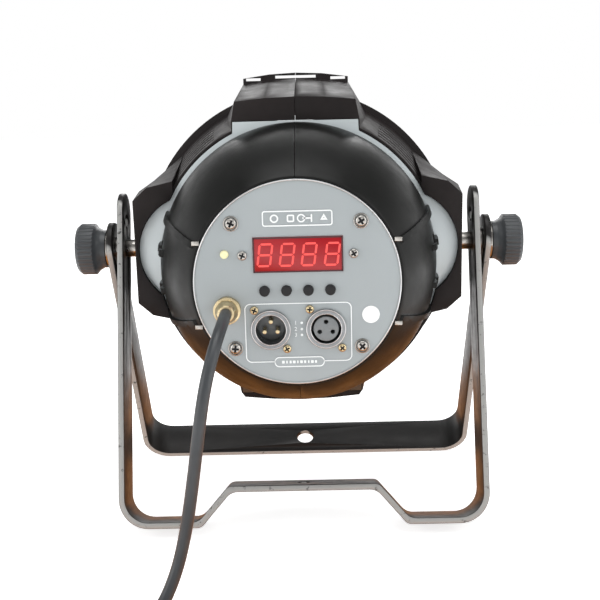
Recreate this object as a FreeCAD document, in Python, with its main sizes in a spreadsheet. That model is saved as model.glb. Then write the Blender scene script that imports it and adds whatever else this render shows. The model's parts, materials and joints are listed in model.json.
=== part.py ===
import FreeCAD, Part
import math
import os
import re
import Sketcher

os.makedirs("parts", exist_ok=True)
doc = FreeCAD.newDocument("ParCan")

# Driving sizes in millimetres and degrees.  The housing's own frame has its
# origin on the light axis, level with the bracket pivots, +Y along the beam.
SIZES = {
    # brackets and pivots
    "pivot_drop": 8.0,        # light axis below the bracket pivots
    "stand_lean": 16.75,      # floor stand leans back
    "hang_lean": 28.2,        # hanging bracket leans forward
    "stand_length": 189.0,    # pivot to the underside of the feet
    "strap_width": 30.0,
    "hang_tail": 18.5,        # hanging arm above the pivot
    "strap_thick": 4.0,
    "stand_inner": 118.5,     # half the width between the stand's arms
    "stand_tail": 38.0,       # arm above the pivot
    "second_hole_up": 18.5,
    "second_hole_bore": 10.0,
    "foot_inner": 68.0,       # half the gap between the feet
    "bar_half": 48.0,         # half the raised bar
    "bar_lift": 23.0,
    "corner_radius": 20.0,
    "ramp_radius": 6.0,
    "spacer_thick": 3.0,
    "stand_hole": 8.5,
    "hang_hole": 13.0,
    "pivot_bore": 8.4,
    "stud_diameter": 8.0,
    "insert_diameter": 12.0,
    "insert_inside": 12.0,
    "play": 0.05,
    "washer_diameter": 24.0,
    "washer_thick": 2.0,
    "spacer_diameter": 16.0,
    "hub_diameter": 26.0,
    "hub_length": 6.0,
    "knob_diameter": 35.0,
    "knob_length": 13.5,
    "stud_reach": 8.0,
    # front shell
    "shell_rear": 17.5,       # rear face of the ring behind the pivots
    "shell_front": 55.0,
    "ring_rear_radius": 96.2,
    "ring_front_radius": 107.5,
    "rim_radius": 112.0,
    "rim_width": 5.0,
    "shell_wall": 3.0,
    "rib_count": 6,
    "rib_pitch": 8.5,
    "groove_width": 3.0,
    "groove_depth": 1.3,
    "hood_rear_half": 42.0,
    "hood_crease_half": 39.5,
    "hood_front_half": 37.5,
    "hood_flare": 52.0,
    "hood_underside": 92.0,
    "hood_crease": 105.3,
    "hood_top": 116.9,
    "crease_arch": 2.4,
    "hood_arch": 3.4,
    "low_hood_crease": 95.5,
    "low_hood_top": 112.5,
    "lip_height": 3.6,
    "lip_thick": 3.0,
    "slot_height": 1.9,
    "slot_middle": 29.0,
    "slot_side": 10.5,
    "pod_out": 115.8,
    "pod_rear_out": 109.0,
    "pod_rear_knee": 99.5,
    "pod_knee": 104.5,
    "pod_knee_half": 43.0,
    "pod_root": 82.0,
    "pod_root_half": 47.0,
    "pod_face_half": 34.5,
    "pod_front": 44.0,
    "pod_front_root_half": 60.0,
    "pod_front_knee_half": 42.0,
    "pod_rear_step": 3.5,
    "lobe_centre": 69.2,
    "lobe_radius": 37.4,
    "half_gap": 0.3,
    # mid plate and dome
    "plate_thick": 2.5,
    "dome_radius": 91.5,
    "dome_length": 78.5,
    "dome_mouth": 63.2,
    "dome_wall": 2.5,
    "lip_angle": 21.0,
    "lip_rise": 2.2,
    "short_lip_angle": 8.0,
    "lip_width": 4.0,
    "louvre_width": 12.0,
    "louvre_height": 9.0,
    # rear panel and what it carries
    "panel_radius": 61.7,
    "panel_thick": 2.0,
    "panel_rim": 1.2,
    "panel_rim_rise": 0.3,
    "corner_screw_x": 38.0,
    "corner_screw_up": 36.6,
    "corner_screw_down": 38.7,
    "corner_head": 6.6,
    "window_width": 53.2,
    "window_height": 21.2,
    "window_up": 17.5,
    "window_x": 0.8,
    "window_thick": 2.5,
    "display_width": 50.4,
    "display_height": 18.0,
    "display_depth": 9.8,
    "control_half": 47.0,
    "control_low": 8.0,
    "control_height": 37.0,
    "switch_size": 6.0,
    "switch_height": 3.0,
    "display_screw_x": 32.8,
    "small_head": 6.2,
    "led_x": 42.5,
    "led_level": 18.4,
    "led_diameter": 5.0,
    "button_diameter": 6.0,
    "button_pitch": 13.0,
    "button_level": -4.0,
    "button_travel": 0.6,
    "button_proud": 2.2,
    "connector_x": 16.5,
    "connector_level": -27.6,
    "connector_shell": 24.0,
    "connector_bore": 18.0,
    "connector_depth": 20.0,
    "connector_proud": 1.5,
    "connector_screw_x": 9.5,
    "connector_screw_z": 12.0,
    "connector_head": 5.0,
    "contact_diameter": 2.4,
    "contact_ring": 8.6,
    "gland_x": 42.0,
    "gland_level": -14.9,
    "gland_flange": 16.3,
    "gland_proud": 12.0,
    "cord_diameter": 7.0,
    "label_x": 43.3,
    "label_level": -19.6,
    "label_diameter": 10.4,
    # front optics
    "glass_radius": 100.0,
    "glass_thick": 3.0,
    "bezel_bore": 94.0,
    "bezel_thick": 2.0,
    "gasket_width": 3.0,
    "gasket_thick": 1.5,
    "board_radius": 90.0,
    "board_thick": 1.6,
    "board_front": 24.0,
    "supply_half": 46.0,
    "lens_diameter": 20.0,
    "lens_height": 12.0,
    "chip_size": 5.0,
    "chip_height": 2.0,
    "sink_radius": 88.0,
    "sink_base": 5.0,
    "fin_height": 16.0,
    "fin_thick": 2.5,
    "fin_pitch": 11.0,
    "fan_size": 60.0,
    "fan_depth": 15.0,
    "fan_wall": 2.0,
    "spoke_width": 3.0,
    "hub_radius": 14.0,
    "blade_thick": 1.5,
}

sheet = doc.addObject("Spreadsheet::Sheet", "Dims")
for row, (word, value) in enumerate(SIZES.items(), start=1):
    sheet.set("A%d" % row, word)
    sheet.set("B%d" % row, str(value))
    sheet.setAlias("B%d" % row, word)

# Sizes that follow from the driving ones, as formulas of the same sheet.
DERIVED = {
    "pivot_high": "stand_length * cos(stand_lean * 1 deg) + strap_width / 2 * sin(stand_lean * 1 deg)",
    "hang_length": "(pivot_high - strap_width / 2 * sin(hang_lean * 1 deg)) / cos(hang_lean * 1 deg)",
    "hang_inner": "stand_inner + strap_thick + spacer_thick",
    "axis_high": "pivot_high - pivot_drop",
    "panel_face": "shell_rear + dome_length + panel_thick",
    "front_edge": "hang_length * sin(hang_lean * 1 deg) + strap_width / 2 * cos(hang_lean * 1 deg)",
    "rear_reach": "panel_face + gland_proud",
    "pivot_back": "(rear_reach - front_edge) / 2",
    "knob_start": "hang_inner + strap_thick + washer_thick",
    "pod_gap": "stand_inner - pod_out",
    "ramp_lean": "atan(bar_lift / (foot_inner - bar_half)) / 1 deg",
    "ramp_shift": "strap_thick * tan(ramp_lean / 2 * 1 deg)",
    "stand_outer": "stand_inner + strap_thick",
    "hang_outer": "hang_inner + strap_thick",
    "bar_high": "bar_lift - stand_length",
    "panel_seat": "panel_rim_rise - panel_face",
    "panel_back": "panel_thick - panel_face",
    "fan_rear": "plate_thick - shell_rear",
}
for row, (word, text) in enumerate(DERIVED.items(), start=len(SIZES) + 2):
    sheet.set("A%d" % row, word)
    sheet.set("B%d" % row, "=" + text)
    sheet.setAlias("B%d" % row, word)
doc.recompute()


def value(word):
    """The number that a cell of the sheet holds."""
    held = getattr(sheet, word)
    return float(getattr(held, "Value", held))


def formula(text):
    """Turn plain words of the sheet into an expression."""
    def cell(match):
        word = match.group(0)
        known = word in SIZES or word in DERIVED
        return "Dims." + word if known else word
    return re.sub(r"[A-Za-z_][A-Za-z_0-9]*", cell, text)


def bind(thing, prop, text):
    """Bind one property to the sheet, or set it where the text is a number."""
    thing.setExpression(prop, formula(str(text)))


AXES = {
    "X": FreeCAD.Rotation(FreeCAD.Vector(0, 1, 0), 90),
    "Y": FreeCAD.Rotation(FreeCAD.Vector(1, 0, 0), -90),
    "Z": FreeCAD.Rotation(),
}


def place(thing, at, along="Z"):
    thing.Placement = FreeCAD.Placement(FreeCAD.Vector(), AXES[along])
    for axis, text in zip("xyz", at):
        bind(thing, "Placement.Base." + axis, text)


def box(name, low, size):
    made = doc.addObject("Part::Box", name)
    for prop, text in zip(("Length", "Width", "Height"), size):
        bind(made, prop, text)
    place(made, low)
    return made


def cylinder(name, radius, length, at, along="Y"):
    made = doc.addObject("Part::Cylinder", name)
    bind(made, "Radius", radius)
    bind(made, "Height", length)
    place(made, at, along)
    return made


def cone(name, first, last, length, at, along="Y"):
    made = doc.addObject("Part::Cone", name)
    bind(made, "Radius1", first)
    bind(made, "Radius2", last)
    bind(made, "Height", length)
    place(made, at, along)
    return made


def fuse(name, pieces):
    if len(pieces) == 1:
        return pieces[0]
    made = doc.addObject("Part::MultiFuse", name)
    made.Shapes = pieces
    return made


def cut(name, base, tools):
    made = doc.addObject("Part::Cut", name)
    made.Base = base
    made.Tool = fuse(name + "_tools", tools)
    return made


def common(name, base, tool):
    made = doc.addObject("Part::Common", name)
    made.Base = base
    made.Tool = tool
    return made


def group(name, pieces):
    made = doc.addObject("Part::Compound", name)
    made.Links = pieces
    return made


NODES = []


def node(thing, label, bodied="housing"):
    """Name a finished sub-part and put it where it goes."""
    if bodied == "housing" and thing.TypeId in ("Part::Box", "Part::Cylinder"):
        thing = group(thing.Name + "Placed", [thing])
    thing.Label = label
    if bodied == "housing":
        place(thing, ("0", "pivot_back", "axis_high"))
    NODES.append(thing)
    return thing


def polygon(sketch, points):
    """Straight closed outline whose corners are bound to the sheet."""
    guess = [(evaluate(u), evaluate(v)) for u, v in points]
    count = len(guess)
    for here in range(count):
        start = FreeCAD.Vector(guess[here][0], guess[here][1], 0)
        end_uv = guess[(here + 1) % count]
        end = FreeCAD.Vector(end_uv[0], end_uv[1], 0)
        sketch.addGeometry(Part.LineSegment(start, end), False)
    for here in range(count):
        after = (here + 1) % count
        sketch.addConstraint(Sketcher.Constraint("Coincident", here, 2, after, 1))
    for here, (u, v) in enumerate(points):
        for kind, text, number in (("DistanceX", u, 0), ("DistanceY", v, 1)):
            size = guess[here][number]
            tie = Sketcher.Constraint(kind, -1, 1, here, 1, size)
            index = sketch.addConstraint(tie)
            word = "%s_%d" % (kind[-1].lower(), here)
            sketch.renameConstraint(index, word)
            sketch.setExpression("Constraints." + word, formula(str(text)))


def evaluate(text):
    """The number that an expression of the sheet's words has now."""
    words = {word: value(word) for word in list(SIZES) + list(DERIVED)}
    tokens = re.sub(r"([A-Za-z_][A-Za-z_0-9]*)", lambda m: repr(words[m.group(0)]), str(text))
    return sheet.evalExpression(tokens)


def plane_of(body, role):
    for feature in body.Origin.OriginFeatures:
        if feature.Role == role:
            return feature
    raise ValueError(role)


def sketch_in(body, name, role):
    sketch = body.newObject("Sketcher::SketchObject", name)
    sketch.AttachmentSupport = [(plane_of(body, role), "")]
    sketch.MapMode = "FlatFace"
    return sketch


def new_body(name):
    return doc.addObject("PartDesign::Body", name)


def turned(name, points):
    """Body turned about the beam axis; points are (radius, y)."""
    body = new_body(name)
    sketch = sketch_in(body, name + "_profile", "XY_Plane")
    polygon(sketch, points)
    doc.recompute()
    spin = body.newObject("PartDesign::Revolution", name + "_turn")
    spin.Profile = sketch
    spin.ReferenceAxis = (sketch, ["V_Axis"])
    spin.Angle = 360
    doc.recompute()
    return body


def padded(name, role, points, length, midplane=True):
    body = new_body(name)
    sketch = sketch_in(body, name + "_outline", role)
    polygon(sketch, points)
    doc.recompute()
    pad = body.newObject("PartDesign::Pad", name + "_pad")
    pad.Profile = sketch
    pad.Midplane = midplane
    bind(pad, "Length", length)
    doc.recompute()
    return body


def round_edges(body, name, wanted, radius):
    """Fillet the edges of the body's tip that the test picks."""
    before = body.Tip
    picked = []
    for number, edge in enumerate(before.Shape.Edges, start=1):
        if wanted(edge):
            picked.append("Edge%d" % number)
    if not picked:
        raise ValueError("no edges for " + name)
    fillet = body.newObject("PartDesign::Fillet", name)
    fillet.Base = (before, picked)
    bind(fillet, "Radius", radius)
    doc.recompute()
    return fillet


def holes(body, name, role, circles):
    """Round holes right through the body, both ways from a plane."""
    sketch = sketch_in(body, name + "_circles", role)
    for number, (u, v, diameter) in enumerate(circles):
        middle = FreeCAD.Vector(evaluate(u), evaluate(v), 0)
        radius = evaluate(diameter) / 2
        sketch.addGeometry(Part.Circle(middle, FreeCAD.Vector(0, 0, 1), radius), False)
        ties = (
            ("across", Sketcher.Constraint("DistanceX", -1, 1, number, 3, middle.x), u),
            ("up", Sketcher.Constraint("DistanceY", -1, 1, number, 3, middle.y), v),
            ("wide", Sketcher.Constraint("Diameter", number, 2 * radius), diameter),
        )
        for word, tie, text in ties:
            index = sketch.addConstraint(tie)
            sketch.renameConstraint(index, "%s_%d" % (word, number))
            sketch.setExpression("Constraints.%s_%d" % (word, number), formula(str(text)))
    doc.recompute()
    pocket = body.newObject("PartDesign::Pocket", name)
    pocket.Profile = sketch
    pocket.Type = "ThroughAll"
    pocket.Midplane = True
    doc.recompute()
    return pocket


# ---------------------------------------------------------------- brackets
def strap_bracket(name, outline, corners, ramps, eye_circles, bar_circle):
    """Flat strap bent to a U, arms upwards, pivots on its own origin."""
    body = padded(name, "XZ_Plane", outline, "strap_width")
    arm_top = body.Shape.BoundBox.ZMax

    def across_at(edge, spots):
        box_of = edge.BoundBox
        lies_along_y = box_of.YLength > 1 and box_of.XLength + box_of.ZLength < 0.01
        here = FreeCAD.Vector(abs(box_of.Center.x), 0, box_of.Center.z)
        return lies_along_y and any((here - spot).Length < 0.2 for spot in spots)

    for number, (spots, radius) in enumerate(corners + ramps):
        wanted = [FreeCAD.Vector(evaluate(u), 0, evaluate(v)) for u, v in spots]
        round_edges(body, "%s_bend_%d" % (name, number), lambda edge: across_at(edge, wanted), radius)
    round_edges(
        body, name + "_ends",
        lambda edge: (edge.BoundBox.YLength + edge.BoundBox.ZLength < 0.01
                      and edge.BoundBox.ZMin > arm_top - 0.1),
        "strap_width * 0.498")
    holes(body, name + "_eyes", "YZ_Plane", eye_circles)
    holes(body, name + "_hole", "XY_Plane", bar_circle)
    return body


def lean(body, angle, label):
    """Turn a bracket about the pivot axis."""
    body.Placement = FreeCAD.Placement(FreeCAD.Vector(), FreeCAD.Rotation(FreeCAD.Vector(1, 0, 0), 10))
    bind(body, "Placement.Rotation.Angle", angle)
    bind(body, "Placement.Base.y", "pivot_back")
    bind(body, "Placement.Base.z", "pivot_high")
    return node(body, label, "own")


def mirrored(points):
    """A right-hand outline, top to bottom, followed by its left-hand twin."""
    return points + [("-(%s)" % u, v) for u, v in reversed(points)]


outer_run = [
    ("stand_outer", "stand_tail"),
    ("stand_outer", "-stand_length"),
    ("foot_inner", "-stand_length"),
    ("bar_half", "bar_high"),
]
inner_run = [
    ("stand_inner", "stand_tail"),
    ("stand_inner", "strap_thick - stand_length"),
    ("foot_inner + ramp_shift", "strap_thick - stand_length"),
    ("bar_half + ramp_shift", "bar_high + strap_thick"),
]
stand_outline = mirrored(outer_run) + list(reversed(mirrored(inner_run)))
stand = strap_bracket(
    "Stand", stand_outline,
    [([("stand_outer", "-stand_length")], "corner_radius"),
     ([("stand_inner", "strap_thick - stand_length")], "corner_radius - strap_thick")],
    [([("foot_inner", "-stand_length")], "ramp_radius"),
     ([("foot_inner + ramp_shift", "strap_thick - stand_length")], "ramp_radius + strap_thick"),
     ([("bar_half", "bar_high")], "ramp_radius + strap_thick"),
     ([("bar_half + ramp_shift", "bar_high + strap_thick")], "ramp_radius")],
    [("0", "0", "pivot_bore"), ("0", "second_hole_up", "second_hole_bore")],
    [("0", "0", "stand_hole")])
lean(stand, "-stand_lean", "stand_bracket")

hang_run_outer = [("hang_outer", "hang_tail"), ("hang_outer", "-hang_length")]
hang_run_inner = [("hang_inner", "hang_tail"), ("hang_inner", "strap_thick - hang_length")]
hang = strap_bracket(
    "Hanger", mirrored(hang_run_outer) + list(reversed(mirrored(hang_run_inner))),
    [([("hang_outer", "-hang_length")], "corner_radius"),
     ([("hang_inner", "strap_thick - hang_length")], "corner_radius - strap_thick")],
    [],
    [("0", "0", "pivot_bore")],
    [("0", "0", "hang_hole")])
lean(hang, "hang_lean", "hanging_bracket")


# ------------------------------------------------------------- front shell
def section(name, points, level):
    """Closed outline across the beam at a given place along it."""
    sketch = doc.addObject("Sketcher::SketchObject", name)
    sketch.Placement = FreeCAD.Placement(FreeCAD.Vector(), FreeCAD.Rotation(FreeCAD.Vector(1, 0, 0), 90))
    bind(sketch, "Placement.Base.y", level)
    polygon(sketch, points)
    return sketch


def loft(name, rear, front):
    """Straight-sided solid between two outlines: each is (points, place)."""
    made = doc.addObject("Part::Loft", name)
    made.Sections = [section(name + "_rear", *rear), section(name + "_front", *front)]
    made.Solid = True
    made.Ruled = True
    doc.recompute()
    return made


def ring_outside():
    """Outer profile of the ring: a slight cone with a raised rim in front."""
    return turned("Ring", [
        ("0", "-shell_rear"),
        ("ring_rear_radius", "-shell_rear"),
        ("ring_front_radius", "shell_front - rim_width"),
        ("rim_radius", "shell_front - rim_width"),
        ("rim_radius", "shell_front"),
        ("0", "shell_front"),
    ])


def groove_cutters():
    """Short curved grooves in the ring, between the hoods and the pods."""
    rear = value("ring_rear_radius")
    run = value("shell_front") - value("rim_width") + value("shell_rear")
    rise = (value("ring_front_radius") - rear) / run
    half = value("groove_width") / 2
    cutters = []
    hood_side = math.degrees(math.asin(value("hood_flare") / value("ring_front_radius"))) + 5
    for quarter in (0, 1, 2, 3):
        for rib in range(int(value("rib_count"))):
            along = 8.5 + rib * value("rib_pitch")
            radius = rear + rise * along
            middle = along - value("shell_rear")
            corners = [
                FreeCAD.Vector(radius - value("groove_depth"), middle - half / 2, 0),
                FreeCAD.Vector(radius - value("groove_depth"), middle + half / 2, 0),
                FreeCAD.Vector(radius + 1, middle + half, 0),
                FreeCAD.Vector(radius + 1, middle - half, 0),
            ]
            wire = Part.makePolygon(corners + corners[:1])
            swept = 42.0
            made = Part.Face(wire).revolve(FreeCAD.Vector(), FreeCAD.Vector(0, 1, 0), swept)
            # the sweep starts on +X and turns towards -Z
            start = {0: -90 + hood_side, 1: 90 - hood_side - swept,
                     2: 90 + hood_side, 3: 270 - hood_side - swept}
            made.rotate(FreeCAD.Vector(), FreeCAD.Vector(0, 1, 0), start[quarter])
            cutters.append(made)
    made = doc.addObject("Part::Feature", "Grooves")
    made.Shape = Part.makeCompound(cutters)
    return made


def hood_outline(base, crease, half_base, half_top, arch):
    """Section of a hood, whose top is a shallow arch of four runs."""
    arched = [("-(%s)" % half_top, crease), ("-(%s) / 2" % half_top, "%s + %s * 0.75" % (crease, arch)),
              ("0", "%s + %s" % (crease, arch)), ("(%s) / 2" % half_top, "%s + %s * 0.75" % (crease, arch)),
              (half_top, crease)]
    return [("-(%s)" % half_base, "0"), ("-(%s)" % half_base, base)] + arched + [(half_base, base), (half_base, "0")]


def hood(name, inset, crease, top):
    """Flared hood, or its cavity when it is inset by the wall."""
    rear = hood_outline("hood_underside", "%s - %s" % (crease, inset),
                        "hood_rear_half - " + inset, "hood_crease_half - " + inset, "crease_arch")
    front = hood_outline("hood_underside", "%s - %s" % (top, inset),
                         "hood_flare - " + inset, "hood_front_half - " + inset, "hood_arch")
    return loft(name, (rear, inset + " - shell_rear"), (front, "shell_front - " + inset))


def hood_lip(name, top):
    """Raised front edge of a hood, arched like it, with its three slots."""
    def arched(rise):
        spots = (("-hood_front_half", "0"), ("-hood_front_half / 2", "0.75"), ("0", "1"),
                 ("hood_front_half / 2", "0.75"), ("hood_front_half", "0"))
        return [(across, "%s + %s + hood_arch * %s" % (top, rise, share)) for across, share in spots]
    outline = arched("lip_height") + list(reversed(arched("-1")))
    plate = loft(name, (outline, "shell_front - lip_thick"), (outline, "shell_front"))
    slots = []
    side = "hood_front_half - slot_side - 2"
    for number, (start, share, width) in enumerate((
            ("-slot_middle / 2", "0.86", "slot_middle"), (side, "0.45", "slot_side"),
            ("-(%s) - slot_side" % side, "0.45", "slot_side"))):
        slots.append(box("%s_slot_%d" % (name, number),
                         (start, "shell_front - lip_thick - 1", "%s + 0.3 + hood_arch * %s" % (top, share)),
                         (width, "lip_thick + 2", "slot_height")))
    return cut(name + "_slotted", plate, slots)


def hood_cavity(name, crease, top):
    """The room inside a hood, short of the front glass."""
    room = box(name + "_limit", ("-100", "-shell_rear", "0"), ("200", "shell_front - 17 + shell_rear", "200"))
    return common(name + "_rear", hood(name, "shell_wall", crease, top), room)


def pod(side, name):
    """Side pod that carries a bracket pivot; side is 1 or -1."""
    def outline(knee, out, root_half, knee_half, face_half):
        upper = [("pod_root", root_half), (knee, knee_half), (out, face_half)]
        ring = [(u, "pivot_drop + " + v) for u, v in upper]
        ring += [(u, "pivot_drop - " + v) for u, v in reversed(upper)]
        return [("%d * %s" % (side, u), v) for u, v in ring]
    rear = outline("pod_rear_knee", "pod_rear_out", "pod_root_half", "pod_knee_half", "pod_face_half")
    front = outline("pod_knee", "pod_out", "pod_front_root_half", "pod_front_knee_half", "pod_face_half")
    return loft(name, (rear, "-shell_rear - pod_rear_step"), (front, "pod_front"))


def mirror(name, thing, normal):
    made = doc.addObject("Part::Mirroring", name)
    made.Source = thing
    made.Normal = FreeCAD.Vector(*normal)
    return made


def plate_solid(name, spare, low, length):
    """Outline of the mid plate: a disc, two side lobes and two hood tongues."""
    pieces = [cylinder(name + "_disc", "ring_rear_radius - 1.8 + " + spare, length, ("0", low, "0"))]
    for side in (1, -1):
        pieces.append(cylinder("%s_lobe_%s" % (name, "rl"[side < 0]), "lobe_radius + " + spare, length,
                               ("%d * lobe_centre" % side, low, "pivot_drop")))
    tongue_points = [("-(hood_crease_half + 1.5)", "hood_underside + 0.3 + " + spare),
                     ("hood_crease_half + 1.5", "hood_underside + 0.3 + " + spare),
                     ("hood_rear_half + 4", "0"), ("-(hood_rear_half + 4)", "0")]
    tongue = doc.addObject("Part::Extrusion", name + "_tongue")
    tongue.Base = section(name + "_tongue_outline", tongue_points, low)
    tongue.DirMode = "Custom"
    tongue.Dir = FreeCAD.Vector(0, 1, 0)
    bind(tongue, "LengthFwd", length)
    tongue.Solid = True
    pieces += [tongue, mirror(name + "_tongue_low", tongue, (0, 0, 1))]
    room = box(name + "_room", ("-120", low, "-hood_underside - 0.3 - " + spare),
               ("240", length, "hood_underside * 2 + 0.6 + 2 * " + spare))
    return common(name, fuse(name + "_whole", pieces), room)


def pivot_insert(name, side, radius, spare):
    """Threaded insert of a pod, or the longer hole that it sits in."""
    if spare:
        start = "pod_out - insert_inside" if side > 0 else "-pod_out - 1"
        length = "insert_inside + 1"
    else:
        start = "pod_out - insert_inside" if side > 0 else "-stand_inner + play"
        length = "insert_inside + pod_gap - play"
    return cylinder(name, radius, length, (start, "0", "pivot_drop"), "X")


HOODS = (("hood_crease", "hood_top"), ("low_hood_crease", "low_hood_top"))
outside = [cut("GroovedRing", ring_outside(), [groove_cutters()]), pod(1, "RightPod"), pod(-1, "LeftPod")]
cavities = []
for number, (crease, top) in enumerate(HOODS):
    shapes = [hood("Hood_%d" % number, "0", crease, top), hood_lip("Lip_%d" % number, top)]
    room = hood_cavity("HoodCavity_%d" % number, crease, top)
    if number:
        shapes = [mirror(shape.Name + "_below", shape, (0, 0, 1)) for shape in shapes]
        room = mirror("LowCavity", room, (0, 0, 1))
    outside += shapes
    cavities.append(room)
bore = turned("Bore", [
    ("0", "plate_thick - shell_rear"),
    ("ring_rear_radius - shell_wall", "plate_thick - shell_rear"),
    ("ring_front_radius - shell_wall - 2.5", "shell_front - 17"),
    ("glass_radius - 4", "shell_front - 14"),
    ("glass_radius - 4", "shell_front - 11"),
    ("ring_front_radius - shell_wall", "shell_front - 11"),
    ("ring_front_radius - shell_wall", "shell_front + 1"),
    ("0", "shell_front + 1"),
])
cutters = cavities + [
    bore,
    plate_solid("PlateSeat", "0.3", "-shell_rear - pod_rear_step - 1", "pod_rear_step + 1 + plate_thick"),
    pivot_insert("InsertHoleRight", 1, "insert_diameter / 2", True),
    pivot_insert("InsertHoleLeft", -1, "insert_diameter / 2", True),
]
shell = cut("FrontShell", fuse("FrontOutside", outside), cutters)


def halves(whole, name, low, length):
    """Split a housing down its middle, with a hair line between the halves."""
    for side, word in ((1, "right"), (-1, "left")):
        start = "half_gap / 2" if side > 0 else "-half_gap / 2 - 200"
        room = box("%s_%s_room" % (name, word), (start, low, "-200"), ("200", length, "400"))
        node(common("%s_%s" % (name, word), whole, room), "%s_%s" % (name, word))


halves(shell, "front_shell", "-shell_rear - pod_rear_step - 5",
       "shell_front + shell_rear + pod_rear_step + 10")
plate_holes = [cylinder("PlateFanHole", "fan_size / 2 - 3", "plate_thick + 2", ("0", "-shell_rear - 1", "0"))]
node(cut("MidPlate", plate_solid("Plate", "0", "-shell_rear", "plate_thick"), plate_holes), "mid_plate")


# --------------------------------------------------------------- rear dome
def dome_arc():
    """Radius of the dome's profile, which leaves the plate along the beam."""
    step = value("dome_radius") - value("dome_mouth")
    return (step ** 2 + value("dome_length") ** 2) / (2 * step)


def dome_band(outer, inner, low, high):
    """Turned band of the dome between two offsets and two places along it."""
    bulge = dome_arc()
    centre = value("dome_radius") - bulge

    def at(offset, along):
        turn = math.asin(along / bulge)
        reach = bulge + offset
        rear = -value("shell_rear") - bulge * math.sin(turn)
        return FreeCAD.Vector(centre + reach * math.cos(turn), rear, 0)

    def arc(offset, start, end):
        return Part.Arc(at(offset, start), at(offset, (start + end) / 2), at(offset, end)).toShape()

    far = arc(outer, low, high)
    near = arc(inner, high, low)
    edges = [far, Part.LineSegment(at(outer, high), at(inner, high)).toShape(), near,
             Part.LineSegment(at(inner, low), at(outer, low)).toShape()]
    return Part.Face(Part.Wire(edges)).revolve(FreeCAD.Vector(), FreeCAD.Vector(0, 1, 0), 360)


def dome_shape():
    """The dome with its louvre lips and openings at both sides."""
    length = value("dome_length")
    wall = value("dome_wall")
    shape = dome_band(0, -wall, 0, length)
    rise = value("lip_rise")
    lips = ((value("lip_angle"), 0.0, length - 3), (value("short_lip_angle"), 0.0, 0.45 * length))
    width = value("lip_width")
    for angle, low, high in lips:
        band = dome_band(rise, -wall / 2, low, high)
        for side in (1, -1):
            for level in (1, -1):
                slab = Part.makeBox(200, 300, width, FreeCAD.Vector(0, -200, -width / 2))
                slab.rotate(FreeCAD.Vector(), FreeCAD.Vector(0, 1, 0), -angle * level)
                if side < 0:
                    slab = slab.mirror(FreeCAD.Vector(), FreeCAD.Vector(1, 0, 0))
                shape = shape.fuse(band.common(slab))
    for side in (1, -1):
        for level in (1, -1):
            low = value("louvre_height") / 2
            middle = level * 15.0
            corner = FreeCAD.Vector(50 if side > 0 else -150, -value("shell_rear") - 28, middle - low)
            shape = shape.cut(Part.makeBox(100, value("louvre_width"), value("louvre_height"), corner))
    return shape.removeSplitter()


dome = doc.addObject("Part::Feature", "Dome")
dome.Shape = dome_shape()
halves(dome, "rear_dome", "-shell_rear - dome_length - 5", "dome_length + 5")
clips = []
for side in (1, -1):
    for level in (1, -1):
        turn = math.radians(value("lip_angle") + 2)
        across = side * (value("panel_radius") + 3) * math.cos(turn)
        up = level * (value("panel_radius") + 3) * math.sin(turn)
        piece = box("Clip_%d" % len(clips), ("%.4f - 2" % across, "-panel_face - 0.1", "%.4f - 1.2" % up),
                    ("4.4", "panel_thick", "2.4"))
        clips.append(piece)
node(group("Clips", clips), "dome_clips")


# -------------------------------------------------------------- rear panel
FACE = "-panel_face"
SIGNS = ((-1, 1), (1, 1), (-1, -1), (1, -1))


def corner_spots():
    """Where the four corner screws and their standoffs are."""
    for across, up in SIGNS:
        level = "corner_screw_up" if up > 0 else "-corner_screw_down"
        yield "%d * corner_screw_x" % across, level


def connector_spots(side):
    """The two fixing screws of one connector."""
    middle = "%d * connector_x" % side
    return ((middle + " - connector_screw_x", "connector_level + connector_screw_z"),
            (middle + " + connector_screw_x", "connector_level - connector_screw_z"))


def screw(name, spot, head, shank, length, face, washer="0"):
    """Pan-head screw driven along the beam; its head stands behind a face."""
    across, level = spot
    pieces = [
        cylinder(name + "_head", "%s / 2" % head, "%s * 0.28" % head,
                 (across, "%s - %s * 0.28" % (face, head), level)),
        cylinder(name + "_shank", "%s / 2" % shank, length, (across, face, level)),
    ]
    if washer != "0":
        pieces.append(cylinder(name + "_washer", "(%s) / 2" % washer, "0.5",
                               (across, "%s - 0.5" % face, level)))
    return fuse(name, pieces)


holes_in_panel = []
for number, (across, level) in enumerate(corner_spots()):
    holes_in_panel.append(cylinder("CornerHole_%d" % number, "2.1", "10", (across, FACE + " - 1", level)))
for side in (1, -1):
    middle = "%d * connector_x" % side
    word = "rl"[side < 0]
    holes_in_panel.append(cylinder("ConnectorHole_" + word, "connector_shell / 2 - 0.9", "10",
                                   (middle, FACE + " - 1", "connector_level")))
    for number, (across, level) in enumerate(connector_spots(side)):
        holes_in_panel.append(cylinder("ConnectorScrewHole_%s%d" % (word, number), "1.6", "10",
                                       (across, FACE + " - 1", level)))
    holes_in_panel.append(cylinder("DisplayScrewHole_" + word, "1.6", "10",
                                   ("window_x + %d * display_screw_x" % side, FACE + " - 1", "window_up")))
BUTTON_SPOTS = ["%s * button_pitch" % step for step in ("(-1.5)", "(-0.5)", "0.5", "1.5")]
for number, across in enumerate(BUTTON_SPOTS):
    holes_in_panel.append(cylinder("ButtonHole_%d" % number, "button_diameter / 2 + 0.2", "10",
                                   (across, FACE + " - 1", "button_level")))
holes_in_panel.append(box("WindowHole", ("window_x - window_width / 2", FACE + " - 1", "window_up - window_height / 2"),
                          ("window_width", "10", "window_height")))
holes_in_panel.append(cylinder("LedHole", "led_diameter / 2 + 0.1", "10",
                               ("-led_x", FACE + " - 1", "led_level")))
holes_in_panel.append(cylinder("GlandHole", "6.1", "10", ("-gland_x", FACE + " - 1", "gland_level")))
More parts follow.
